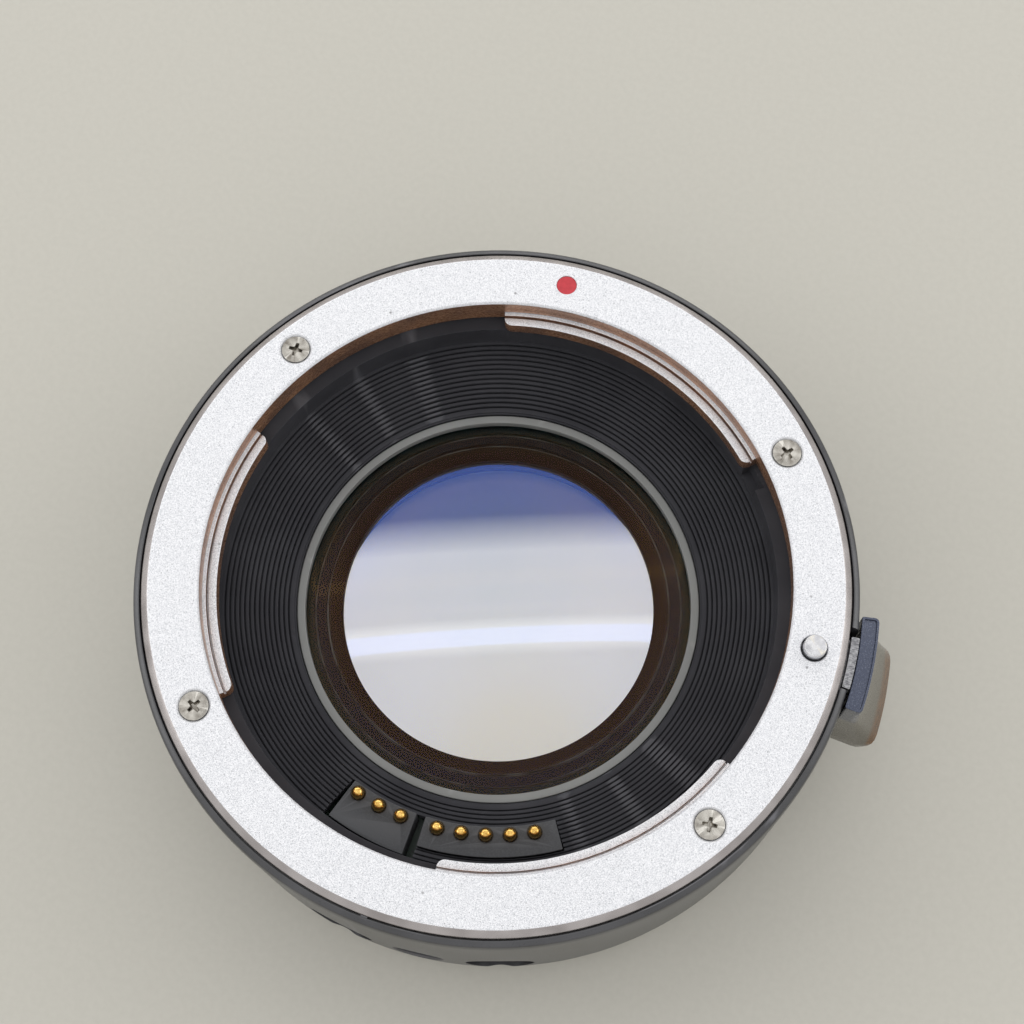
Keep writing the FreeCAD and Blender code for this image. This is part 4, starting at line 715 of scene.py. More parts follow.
@dataclass(frozen=True)
class BlastedChrome(Finish):
    """Bead-blasted satin chrome: bright, with a fine sparkle and a few small dings."""

    name: str = "blasted chrome"
    light: Colour = srgb(248, 248, 250)
    dark: Colour = srgb(196, 198, 202)
    grain: float = 0.075
    roughness: Flat = (0.56, 0.7)

    def mix(self, recipe: Recipe) -> None:
        """Sparkle from fine noise, a cloudy wear pattern and scattered pits."""
        grit = recipe.noise(self.grain, 2.0)
        cloud = recipe.noise(6.0, 3.0)
        face = recipe.mottle(grit, 0.3, 0.6, self.dark, self.light)
        speck = recipe.spread(recipe.cells(0.42), 0.0, 0.2, 0.6, 0.0)
        pit = recipe.spread(recipe.cells(3.2), 0.0, 0.055, 1.0, 0.0)
        marks = recipe.combine("MAXIMUM", speck, pit)
        colour = recipe.blend(marks, face, srgb(112, 110, 112))
        recipe.uniform(Metallic=1.0)
        recipe.feed("Base Color", colour)
        recipe.feed("Roughness", recipe.spread(recipe.combine("ADD", grit, cloud), 0.6, 1.4,
                                               self.roughness[1], self.roughness[0]))
        recipe.relief(grit, 0.012)


@dataclass(frozen=True)
class ChromePaintedReflection(Finish):
    """Smooth turned chrome wall with a painted warm brown reflection."""

    name: str = "chrome painted reflection"
    # Both tones are painted reflection on the same chrome, which has no brown of its own.
    tone: Colour = srgb(186, 140, 108)
    painted_reflection_dim: Colour = srgb(146, 112, 92)
    metal: float = 0.6

    def mix(self, recipe: Recipe) -> None:
        """Turned lines along the wall, and uneven painted brown reflection."""
        lines = recipe.noise(0.35, 2.0, Vector((1.0, 1.0, 9.0)))
        recipe.uniform(Metallic=self.metal)
        recipe.surface(recipe.mottle(recipe.noise(4.0), 0.35, 0.65, self.tone, self.painted_reflection_dim),
                       lines, (0.2, 0.34), 0.006, 0.4)


@dataclass(frozen=True)
class TurnedChrome(Finish):
    """Bright plate with the fine rings of turning, for the camera side."""

    name: str = "turned chrome"
    light: Colour = srgb(232, 231, 229)

    def mix(self, recipe: Recipe) -> None:
        """Fine rings, light handling marks and a few pits."""
        haze = recipe.noise(5.0, 4.0)
        recipe.uniform(Metallic=1.0)
        recipe.surface(recipe.mottle(haze, 0.3, 0.7, srgb(205, 204, 204), self.light), haze,
                       (0.2, 0.34))
        recipe.relief(recipe.rings(0.12), 0.004)


@dataclass(frozen=True)
class Nickel(Finish):
    """Warm nickel plate of the screws and the lock pin."""

    name: str = "nickel plate"
    light: Colour = srgb(190, 186, 178)
    dark: Colour = srgb(124, 118, 110)

    def mix(self, recipe: Recipe) -> None:
        """Fine grit, darker in patches, with worn bright edges."""
        body = recipe.mottle(recipe.noise(0.9), 0.35, 0.7, self.light, self.dark)
        recipe.uniform(Metallic=1.0)
        recipe.surface(recipe.blend(recipe.edges(), body, srgb(226, 222, 214)),
                       recipe.noise(0.1, 3.0), (0.22, 0.42), 0.012)


@dataclass(frozen=True)
class Mottled(Finish):
    """Two tones in patches or streaks. Roughness and relief follow the same pattern."""

    name: str
    light: Colour
    dark: Colour
    share: Flat
    roughness: Flat
    grain: float
    detail: float = 3.0
    stretch: tuple[float, float, float] = (1.0, 1.0, 1.0)
    depth: float = 0.0
    strength: float = 0.5
    metal: float = 1.0
    varnish: float = 0.0

    def mix(self, recipe: Recipe) -> None:
        """One noise for everything, under a thin varnish if there is one."""
        grain = recipe.noise(self.grain, self.detail, Vector(self.stretch))
        recipe.uniform(Metallic=self.metal, Coat_Weight=self.varnish, Coat_Roughness=0.3)
        recipe.surface(recipe.mottle(grain, *self.share, self.light, self.dark), grain,
                       self.roughness, self.depth, self.strength)


@dataclass(frozen=True)
class Rubbed(Finish):
    """Dark surface, matte to half gloss, with uneven colour, fine grain and paler edges."""

    name: str = "black anodised"
    body: Colour = srgb(26, 26, 29)
    worn: Colour = srgb(88, 88, 93)
    roughness: Flat = (0.26, 0.36)
    grain: float = 0.09
    depth: float = 0.008
    gloss: float = 0.9
    detail: float = 2.0
    cloud: float = 7.0
    share: tuple[float, float, float] = (0.3, 0.7, 0.35)
    edge: Flat = (0.53, 0.64)
    strength: float = 0.5

    def mix(self, recipe: Recipe) -> None:
        """Cloudy colour, edges rubbed pale, and grain in roughness and relief."""
        low, high, most = self.share
        share = recipe.spread(recipe.noise(self.cloud, 3.0), low, high, 0.0, most)
        body = recipe.blend(share, self.body, self.worn)
        recipe.uniform(Specular_IOR_Level=self.gloss)
        recipe.surface(recipe.blend(recipe.edges(*self.edge), body, self.worn),
                       recipe.noise(self.grain, self.detail), self.roughness, self.depth,
                       self.strength)


@dataclass(frozen=True)
class KnobPaintedReflections(Finish):
    """Glossy metallic lacquer of the release knob, with painted reflections: blue grey top, warm grey
    slopes, gold-brown foot.
    """

    name: str = "knob painted reflections"
    # The three tones, split at the neck height and the side radius, are painted reflections, not the
    # lacquer's own colour.
    upper: Colour = srgb(66, 72, 90)
    slope_reflection: Colour = srgb(104, 100, 90)
    foot: Colour = srgb(84, 52, 12)
    neck: Flat = (18.6, 19.6)
    side: Flat = (36.9, 37.3)

    def mix(self, recipe: Recipe) -> None:
        """Painted glints from a cell pattern over three painted reflection tones, that of the foot in
        fine streaks of painted highlight.
        """
        glint_and_flake_cells = recipe.cells(0.14)
        # Painted glints on the top and painted gold highlight streaks on the foot.
        sparkle = recipe.spread(glint_and_flake_cells, 0.02, 0.34, 0.8, 0.0)
        gold = recipe.mottle(recipe.noise(0.35, 3.0, Vector((1.0, 0.35, 6.0))), 0.45, 0.7,
                             self.foot, srgb(150, 100, 34))
        lower = recipe.mottle(recipe.radius(), self.side[0] * MM, self.side[1] * MM, self.slope_reflection,
                              gold)
        body = recipe.mottle(recipe.height(), self.neck[0] * MM, self.neck[1] * MM, lower,
                             recipe.blend(sparkle, self.upper, srgb(128, 134, 150)))
        recipe.uniform(Metallic=0.85, Coat_Weight=0.6, Coat_Roughness=0.08)
        recipe.surface(body, recipe.noise(0.2), (0.2, 0.34))
        recipe.relief(glint_and_flake_cells, 0.012, 0.3)


@dataclass(frozen=True)
class CoatedGlass(Finish):
    """Optical glass with a thin coating whose weak reflection is blue."""

    name: str = "blue coated glass"
    index: float = 1.5
    film_index: float = 2.1
    film_thickness: float = 141.0

    def mix(self, recipe: Recipe) -> None:
        """Clear glass. A trace of dust keeps the surface from being perfect."""
        dust = recipe.noise(0.4, 4.0)
        recipe.uniform(IOR=self.index, Base_Color=(1.0, 1.0, 1.0), Transmission_Weight=1.0,
                       Thin_Film_IOR=self.film_index, Thin_Film_Thickness=self.film_thickness)
        recipe.feed("Roughness", recipe.spread(dust, 0.62, 0.8, 0.0, 0.02))


@dataclass(frozen=True)
class StopPaintedBands(Finish):
    """Blackened stop under the front glass, with bands of painted light and shade between painted
    highlights on the groove lips.
    """

    name: str = "stop painted bands"
    # The inner, middle and outer tones paint the light and shade of the steps. The lip colour paints
    # highlights on the groove edges.
    inner: Colour = srgb(28, 18, 9)
    middle: Colour = srgb(9, 14, 24)
    outer: Colour = srgb(10, 28, 28)
    lip: Colour = srgb(96, 100, 98)
    borders: Flat = (16.3, 17.5)
    lip_highlight_width: float = 0.05

    def mix(self, recipe: Recipe) -> None:
        """Painted tones by distance from the axis for the light and shade of the stepped stop, with
        fine blast grain.
        """
        radius = recipe.radius()
        colour: Colour | Socket = self.inner
        for border, tone in zip(self.borders, (self.middle, self.outer)):
            colour = recipe.mottle(radius, (border - 0.03) * MM, (border + 0.03) * MM, colour, tone)
            rise = recipe.spread(radius, (border - 2 * self.lip_highlight_width) * MM,
                                 (border - self.lip_highlight_width) * MM)
            fall = recipe.spread(radius, (border + self.lip_highlight_width) * MM,
                                 (border + 2 * self.lip_highlight_width) * MM, 1.0, 0.0)
            # Painted highlight on each groove lip, its strength varied by noise.
            painted_highlight_line = recipe.combine("MULTIPLY", recipe.combine("MULTIPLY", rise, fall),
                                  recipe.spread(recipe.noise(3.0), 0.4, 0.6, 0.25, 0.9))
            colour = recipe.blend(painted_highlight_line, colour, self.lip)
        recipe.uniform(Specular_IOR_Level=0.1)
        recipe.surface(colour, recipe.noise(0.1), (0.34, 0.46), 0.008)


@dataclass(frozen=True)
class BoardMask(Finish):
    """Solder mask of a circuit board with tracks under it."""

    name: str = "board mask"
    body: Colour = srgb(12, 34, 24)

    def mix(self, recipe: Recipe) -> None:
        """Faint tracks and an even gloss."""
        tracks = recipe.spread(recipe.cells(0.8, 0.3), 0.28, 0.34)
        recipe.uniform(Coat_Weight=0.4, Coat_Roughness=0.15)
        recipe.surface(recipe.blend(tracks, self.body, srgb(18, 50, 34)), recipe.noise(1.0),
                       (0.3, 0.42))
        recipe.relief(tracks, 0.02, 0.4)


CHROME = BlastedChrome()
# Painted reflection: warm brown chrome for the upright walls of throat and tabs.
THROAT_CHROME = ChromePaintedReflection()
REAR_CHROME = TurnedChrome()
NICKEL = Nickel()
PIN_STEEL = Nickel("pin steel", srgb(226, 226, 228), srgb(186, 186, 190))
ARM_STEEL = Mottled("grained steel", srgb(178, 178, 180), srgb(98, 98, 102), (0.35, 0.68),
                    (0.28, 0.5), 0.3, stretch=(1.0, 3.0, 1.0), depth=0.01)
LEAF_STEEL = replace(ARM_STEEL, name="leaf steel", light=srgb(196, 194, 190),
                     dark=srgb(142, 140, 136), roughness=(0.22, 0.36))
SHELL_BLACK = Rubbed()
RIB_BLACK = Rubbed("ribbed black", srgb(50, 50, 54), srgb(84, 84, 88), (0.7, 0.86), 0.12,
                     0.014, 0.12)
CELL_BLACK = Rubbed("cell black", srgb(20, 22, 24), srgb(52, 56, 58), (0.4, 0.55), 0.12, 0.01)
PLATE_BLACK = Rubbed("plate black", srgb(34, 34, 36), srgb(80, 80, 82), (0.42, 0.6), 0.12, 0.012)
LIP_GREY = Rubbed("lip grey", srgb(112, 113, 111), srgb(140, 141, 139), (0.5, 0.62), 0.1, 0.01)
# Painted reflection and shade: darker grey chrome for the ring's outer bevel.
BEVEL_CHROME = ChromePaintedReflection("bevel chrome", srgb(176, 170, 168), srgb(150, 144, 142), 0.8)
BLOCK_PLASTIC = Rubbed("block plastic", srgb(60, 61, 64), srgb(84, 85, 88), (0.5, 0.66), 0.16,
                       0.012, 0.5, 3.0, 0.16, (0.42, 0.7, 0.6), (0.54, 0.66), 0.6)
CHIP_PLASTIC = replace(BLOCK_PLASTIC, name="chip plastic", body=srgb(26, 26, 28),
                       worn=srgb(50, 50, 52), roughness=(0.4, 0.55))
GOLD = Mottled("gold plate", srgb(246, 205, 120), srgb(186, 138, 58), (0.4, 0.7), (0.16, 0.34),
               0.35)
RED_PAINT = Mottled("red paint", srgb(200, 46, 58), srgb(178, 34, 46), (0.3, 0.7), (0.4, 0.55),
                    0.5, depth=0.02, strength=0.4, metal=0.0, varnish=0.25)
WHITE_PAINT = replace(RED_PAINT, name="white paint", light=srgb(232, 230, 224),
                      dark=srgb(216, 213, 206))
KNOB_PAINTED_REFLECTIONS = KnobPaintedReflections()
GLASS = CoatedGlass("clear glass", film_index=1.27, film_thickness=112.0)
BLUE_GLASS = CoatedGlass()
STOP_PAINTED_BANDS = StopPaintedBands()
BOARD_MASK = BoardMask()
FILM = Mottled("amber film", srgb(196, 120, 40), srgb(150, 84, 28), (0.42, 0.58), (0.25, 0.4),
               0.6, 1.0, (4.0, 0.3, 0.3), metal=0.0)


def body_of(node: str) -> str:
    """The body of the record that a node belongs to."""
    bodies = frame["record"]["behaviour"]["bodies"]
    return next(name for name, nodes in bodies.items() if node in nodes)


def coat(piece: Piece, *finishes: Finish) -> None:
    """Give a piece its finishes, the first of them for all faces that no other is chosen for."""
    for finish in finishes:
        piece.data.materials.append(finish.material())


def hang(data: bpy.types.Camera | bpy.types.Light, matrix: Matrix) -> bpy.types.Object:
    """Put a camera or a lamp into the scene at a place."""
    holder = bpy.data.objects.new(data.name, data)
    bpy.context.scene.collection.objects.link(holder)
    holder.matrix_world = matrix
    return holder


def fit(piece: Piece, finish: Finish, node: str, smooth: float = 35.0) -> Piece:
    """Smooth and dress a finished piece and let it stand for its node.

    Args:
        piece: The modelled piece.
        finish: Its finish.
        node: The node that it replaces, which gives its body.
        smooth: Edges sharper than this many degrees stay sharp.

    Returns:
        The same piece.
    """
    Bench.smooth(piece, smooth)
    if not piece.data.materials:
        coat(piece, finish)
    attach(piece, body_of(node))
    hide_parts(node)
    LOG.info("%s: %d faces for %s", piece.name, len(piece.data.polygons), node)
    return piece


@dataclass
class CrossScrew:
    """Countersunk cross-head screw, made head up with its face at height 0."""

    head_r: float = 1.32
    shank_r: float = 0.8
    length: float = 5.2
    edge: float = 0.09

    def build(self, name: str) -> Piece:
        """Model the screw with its tapered cross recess.

        Args:
            name: Name of the piece.

        Returns:
            The screw on the axis.
        """
        cone = -self.edge - (self.head_r - self.shank_r)
        outline = eased([(0.0, 0.0), (self.head_r, 0.0, 0.05), (self.head_r, -self.edge, 0.02),
                         (self.shank_r, cone, 0.04), (self.shank_r, -self.length, 0.12),
                         (0.0, -self.length)], closed=False)
        screw = Bench.turned(name, outline, steps=64, closed=False)
        tip, half, root = self.head_r * 0.6, self.head_r * 0.125, self.head_r * 0.17
        corner = self.head_r * 0.235
        plan: list[Vector] = []
        for quarter in range(4):
            for along, across in ((corner, root), (tip, half), (tip, -half), (corner, -root)):
                turn = math.radians(90.0 * quarter)
                spot = Vector((along * math.cos(turn) + across * math.sin(turn),
                               along * math.sin(turn) - across * math.cos(turn), 0.3))
                plan.append(spot * MM)
        plan.reverse()
        reach = -(0.3 + self.head_r * 0.45)
        bit = Bench.prism(name + "_bit", plan, reach, 0.55, Vector((0.0, 0.0, reach * MM)))
        return Bench.boolean(screw, [bit], Cut.AWAY)

    def seats(self, depth: float, spots: Sequence[Matrix], lip: float = 0.05) -> list[Piece]:
        """Cutting pieces for the seats of equal screws.

        Args:
            depth: Depth of the holes.
            spots: Where the mouths go.
            lip: Small chamfer at the mouth.

        Returns:
            The cutters in their places.
        """
        hole, mouth = self.shank_r + 0.05, self.head_r + 0.2
        outline = [(0.0, OVER), (mouth + lip, OVER), (mouth + lip, 0.0), (mouth, -lip),
                   (hole, hole - mouth - lip), (hole, -depth), (0.0, -depth)]
        return [Bench.turn(Bench.turned(f"seat_{number}", outline, 64, False), spot)
                for number, spot in enumerate(spots)]


def placed(radius: float, bearing: float, height: float, flipped: bool = False,
           twist: float = 0.0) -> Matrix:
    """Matrix that sets an upright piece at a place, upside down if flipped.

    Args:
        radius: Radius in millimetres.
        bearing: Bearing in degrees.
        height: Height in millimetres.
        flipped: Whether it hangs head down.
        twist: Turn about its own axis in degrees.

    Returns:
        The matrix in metres.
    """
    over = Matrix.Rotation(math.pi if flipped else 0.0, 4, "X")
    spin = Matrix.Rotation(math.radians(90.0 - bearing + twist), 4, "Z")
    return Matrix.Translation(at(radius, bearing, height)) @ spin @ over


def sideways(radius: float, bearing: float, height: float) -> Matrix:
    """Matrix that lays an upright piece along a bearing, its top pointing outwards."""
    lie = Matrix.Rotation(math.radians(90.0), 4, "Y")
    spin = Matrix.Rotation(math.radians(90.0 - bearing), 4, "Z")
    return Matrix.Translation(at(radius, bearing, height)) @ spin @ lie


@dataclass
class LensBayonet:
    """Bright mount ring with three tabs, its four screws and the red dot."""

    face_z: float = 24.5
    throat_r: float = 27.0
    undercut_r: float = 27.3
    undercut_z: float = 22.6
    face_r: float = 31.65
    edge_r: float = 32.35
    edge_z: float = 24.05
    seat_z: float = 22.8
    neck_r: float = 28.1
    tab_r: float = 25.75
    tab_top: float = 22.3
    tab_back: float = 20.8
    tab_corner: float = 0.7
    ledge_r: float = 26.7
    ledge_top: float = 22.45
    groove_r: float = 26.5
    groove_z: float = 21.75
    spans: tuple[Flat, ...] = ((-11.5, 51.0), (116.3, 178.0), (233.8, 290.0))
    screw_twists: Row = (12.0, 38.0, 20.0, 31.0)
    screw_sink: float = 0.06
    dot_circle: float = 29.68
    dot_r: float = 0.95
    dot_sink: float = 0.08
    dot_depth: float = 0.35
    pin_hole_r: float = 1.2
    screw: CrossScrew = field(default_factory=CrossScrew)

    def build(self) -> None:
        """Model and dress the ring, its screws and the dot."""
        self.ring()
        self.screws()
        self.dot()

    def ring(self) -> None:
        """The ring with its tabs, countersinks, pin hole and dot pit."""
        outline = eased([
            (self.throat_r + 0.2, self.face_z, 0.05), (self.face_r, self.face_z, 0.12),
            (self.edge_r, self.edge_z, 0.14), (self.edge_r, self.seat_z, 0.05),
            (self.neck_r, self.seat_z), (self.neck_r, self.tab_back, 0.05),
            (self.undercut_r, self.tab_back, 0.05), (self.undercut_r, self.undercut_z),
            (self.throat_r, self.undercut_z, 0.04), (self.throat_r, self.face_z - 0.2, 0.05),
        ])
        ring = Bench.turned("mount_ring", outline, steps=320)
        cutters = self.screw.seats(2.8, [placed(MOUNT_SCREW_CIRCLE, bearing, self.face_z)
                                         for bearing in MOUNT_SCREWS])
        cutters.append(Bench.turn(Bench.drill("pin_hole", self.pin_hole_r, 0.08, 3.0),
                                  placed(PIN_CIRCLE, LEVER, self.face_z)))
        pit = Bench.drill("dot_pit", self.dot_r + 0.02, 0.05, self.dot_depth + self.dot_sink)
        cutters.append(Bench.turn(pit, placed(self.dot_circle, 0.0, self.face_z)))
        Bench.boolean(ring, cutters, Cut.AWAY)
        tabs = [self.tab(f"tab_{number}", span) for number, span in enumerate(self.spans)]
        ring = Bench.join("mount_ring", [ring, *tabs])
        # The second and third finishes are painted reflection and shade on the same chrome.
        coat(ring, CHROME, THROAT_CHROME, BEVEL_CHROME)
        self.paint_wall_reflections(ring)
        fit(ring, CHROME, "lens_mount_ring")

    def tab(self, name: str, span: Flat) -> Piece:
        """One tab with its groove and raised ledge, rooted in the neck of the ring.

        Args:
            name: Name of the piece.
            span: First and last bearing.

        Returns:
            The tab, its two inner corners rounded.
        """
        root, back = (self.undercut_r + self.neck_r) / 2.0, self.tab_back + 0.004
        outline = eased([
            (self.tab_r, back, 0.06), (root, back), (root, self.ledge_top),
            (self.ledge_r, self.ledge_top, 0.04), (self.ledge_r, self.groove_z),
            (self.groove_r, self.groove_z), (self.groove_r, self.tab_top, 0.04),
            (self.tab_r, self.tab_top, 0.06)])
        rounds, turn = 7, math.degrees(self.tab_corner / self.tab_r)
        quarter = [math.radians(90.0 * number / rounds) for number in range(rounds)]
        ends = [(turn * (1.0 - math.cos(angle)), self.tab_corner * (1.0 - math.sin(angle)))
                for angle in quarter]
        runs, way = 64, span[1] - span[0] - 2.0 * turn
        stations = [(span[0] + offset, back_off) for offset, back_off in ends]
        stations += [(span[0] + turn + way * number / runs, 0.0) for number in range(runs + 1)]
        stations += [(span[1] - offset, back_off) for offset, back_off in reversed(ends)]
        return Bench.swept(name, outline, stations, self.tab_r + 0.2)

    def paint_wall_reflections(self, ring: Piece) -> None:
        """Give the upright inner walls of throat and tabs a painted brown reflection, and the outer
        bevel a painted darker grey.
        """
        for face in ring.data.polygons:
            centre = face.center / MM
            reach = math.hypot(centre.x, centre.y)
            upright = abs(face.normal.z) < 0.3
            if reach < self.undercut_r + 0.08 and upright and centre.z < self.face_z - 0.1:
                face.material_index = 1
            elif reach > self.face_r + 0.02 and centre.z > self.seat_z + 0.1:
                face.material_index = 2

    def screws(self) -> None:
        """Four screws, one modelled and copied."""
        spots = [placed(MOUNT_SCREW_CIRCLE, bearing, self.face_z - self.screw_sink, twist=twist)
                 for bearing, twist in zip(MOUNT_SCREWS, self.screw_twists)]
        fit(Bench.row(self.screw.build("mount_screw"), spots), NICKEL, "lens_mount_screws")

    def dot(self) -> None:
        """Drop of red paint with a slightly hollow top."""
        top = self.face_z - self.dot_sink
        outline = eased([(0.0, top - 0.05), (self.dot_r * 0.6, top - 0.04, 0.2),
                         (self.dot_r, top, 0.05), (self.dot_r, top - self.dot_depth + 0.02, 0.02),
                         (0.0, top - self.dot_depth + 0.02)], closed=False)
        dot = Bench.turned("red_dot", outline, 64, False, at(self.dot_circle, 0.0))
        fit(dot, RED_PAINT, "index_dot")


@dataclass
class BarrelShell:
    """Black outer shell with its rim, lever notch, foot seat, insert and white dot."""

    outer_r: float = 33.2
    inner_r: float = 31.6
    rim_r: float = 32.5
    rim_top: float = 24.0
    shelf_r: float = 28.3
    seat_z: float = 22.8
    shelf_z: float = 17.5
    bottom_z: float = 5.0
    key_bearing: float = 187.0
    key_width: float = 0.6
    post_span: float = 11.0
    post_r: float = 26.8
    post_heights: Flat = (7.9, 13.22)
    mount_hole_r: float = 0.85
    foot_bearing: float = 180.0
    socket_angle: float = 13.4
    socket_r: float = 3.2
    socket_depth: float = 1.1
    foot_z: float = 8.5
    boss_half: float = 3.6
    boss_inner: float = 28.1
    insert_r: float = 2.4
    insert_face: float = 32.7
    thread_r: float = 2.1
    thread_depth: float = 0.12
    thread_pitch: float = 0.7
    notch_half: float = 2.875
    notch_floor: float = 19.9
    slot_r: float = 31.4
    slot_floor: float = 14.7
    spring_pocket_r: float = 1.05
    spring_pocket_z: float = 18.0
    dot_r: float = 0.8
    dot_z: float = 7.5
    dot_depth: float = 0.25

    def build(self) -> None:
        """Model and dress the shell, the threaded insert and the white dot."""
        self.shell()
        self.insert()
        self.white_dot()

    def shell(self) -> None:
        """The shell with its posts, boss, key and all cuts."""
        outline = eased([
            (self.outer_r, self.bottom_z + 0.5, 0.15), (self.outer_r - 0.5, self.bottom_z, 0.12),
            (self.inner_r, self.bottom_z, 0.05), (self.inner_r, self.shelf_z, 0.1),
            (self.shelf_r, self.shelf_z, 0.05), (self.shelf_r, self.seat_z, 0.04),
            (self.rim_r, self.seat_z), (self.rim_r, self.rim_top, 0.05),
            (self.outer_r - 0.6, self.rim_top, 0.06), (self.outer_r - 0.12, self.rim_top - 0.22, 0.2),
            (self.outer_r, self.rim_top - 1.0, 0.2),
        ])
        shell = Bench.turned("barrel_shell", outline, steps=320)
        into = self.inner_r + 0.8
        solid = []
        for number, bearing in enumerate(POSTS):
            half = self.post_span / 2.0
            solid.append(Bench.sector(f"post_{number}", (self.post_r, into),
                                      (bearing - half, bearing + half), self.post_heights))
        solid.append(Bench.box("boss", (self.boss_inner, into), (-self.boss_half, self.boss_half),
                               (5.92, self.foot_z + self.boss_half), self.foot_bearing, 0.15))
        solid.append(Bench.box("rim_key", (32.37, self.rim_r + 0.15),
                               (-self.key_width / 2.0, self.key_width / 2.0),
                               (self.seat_z - 0.2, self.rim_top - 0.01), self.key_bearing))
        Bench.boolean(shell, solid, Cut.JOIN)
        Bench.boolean(shell, self.foot_cutters() + self.lever_cutters() + self.hole_cutters(),
                      Cut.AWAY)
        fit(shell, SHELL_BLACK, "barrel", 30.0)

    def foot_cutters(self) -> list[Piece]:
        """Two round sockets and the hole for the insert, each with a softened mouth."""
        cutters = []
        floor = self.outer_r - self.socket_depth
        for number, offset in enumerate((-self.socket_angle, self.socket_angle)):
            outline = [(0.0, 3.0), (self.socket_r, 3.0), (self.socket_r, 0.12),
                       (self.socket_r - 0.12, 0.0), (0.0, 0.0)]
            socket = Bench.turned(f"socket_{number}", outline, 96, False)
            cutters.append(Bench.turn(socket, sideways(floor, self.foot_bearing + offset,
                                                       self.foot_z)))
        outline = [(0.0, 3.0), (self.insert_r + 0.4, 3.0), (self.insert_r + 0.4, 0.15),
                   (self.insert_r + 0.02, -0.2), (self.insert_r + 0.02, -8.0), (0.0, -8.0)]
        hole = Bench.turned("insert_hole", outline, 96, False)
        cutters.append(Bench.turn(hole, sideways(self.outer_r, self.foot_bearing, self.foot_z)))
        return cutters

    def lever_cutters(self) -> list[Piece]:
        """Channel of the arm, slot of its leg and pocket of the spring."""
        side = (-self.notch_half, self.notch_half)
        channel = Bench.box("channel", (self.shelf_r - 1.0, self.outer_r + 1.0), side,
                            (self.notch_floor, 25.5), LEVER)
        slot = Bench.box("slot", (self.slot_r, self.outer_r + 1.0), side,
                         (self.slot_floor, 24.4), LEVER, 0.1)
        pocket = Bench.plug("pocket", self.spring_pocket_r, 20.5, self.spring_pocket_z, 48,
                            at(SPRING_CIRCLE, LEVER))
        return [channel, slot, pocket]

    def hole_cutters(self) -> list[Piece]:
        """Tapped holes in the shelf and the posts, and the pit of the white dot."""
        spots = [(MOUNT_SCREW_CIRCLE, bearing, 18.94, self.seat_z + 0.3, self.mount_hole_r)
                 for bearing in MOUNT_SCREWS]
        spots += [(POST_CIRCLE, bearing, self.shelf_z - 0.3, self.shelf_z + 2.4, SMALL_HOLE)
                  for bearing in BAFFLE_SCREWS]
        for low, high in ((self.post_heights[0] - 0.3, 10.3), (11.6, self.post_heights[1] + 0.3)):
            spots += [(POST_CIRCLE, bearing, low, high, SMALL_HOLE) for bearing in POSTS]
        cutters = []
        for number, (radius, bearing, low, high, size) in enumerate(spots):
            outline = [(0.0, high), (size, high), (size, low), (0.0, low - size * 0.3)]
            cutters.append(Bench.turned(f"tap_{number}", outline, 32, False, at(radius, bearing)))
        cutters.append(Bench.turn(Bench.plug("white_pit", self.dot_r + 0.02, 1.0, 0.0, 48),
                                  sideways(self.outer_r - self.dot_depth, 0.0, self.dot_z)))
        return cutters

    def insert(self) -> None:
        """Steel bush with a real thread in its bore."""
        length = self.insert_face - self.boss_inner
        outline = eased([(self.thread_r + 0.22, length, 0.03), (self.insert_r, length, 0.05),
                         (self.insert_r, 0.0, 0.05), (self.thread_r, 0.0, 0.03),
                         (self.thread_r, length - 0.22, 0.03)])
        bush = Bench.turned("foot_bush", outline, 96)
        turns = int((length - 0.9) / self.thread_pitch)
        root, half = self.thread_r + 0.04, self.thread_pitch * 0.4
        ring = [at(root, 90.0, 0.45 - half), at(self.thread_r - self.thread_depth, 90.0, 0.45),
                at(root, 90.0, 0.45 + half)]
        thread = Bench.wound("foot_thread", ring, self.thread_pitch, turns, 48)
        whole = Bench.join("foot_insert", [bush, thread])
        Bench.turn(whole, sideways(self.boss_inner, self.foot_bearing, self.foot_z))
        fit(whole, ARM_STEEL, "foot_thread_insert")

    def white_dot(self) -> None:
        """Drop of white paint in the side of the shell."""
        top = self.dot_depth - 0.02
        outline = eased([(0.0, top - 0.03), (self.dot_r * 0.6, top - 0.02, 0.2),
                         (self.dot_r, top, 0.04), (self.dot_r, 0.02), (0.0, 0.02)], closed=False)
        dot = Bench.turned("white_dot", outline, 48, False)
        Bench.turn(dot, sideways(self.outer_r - self.dot_depth, 0.0, self.dot_z))
        fit(dot, WHITE_PAINT, "camera_index_dot")


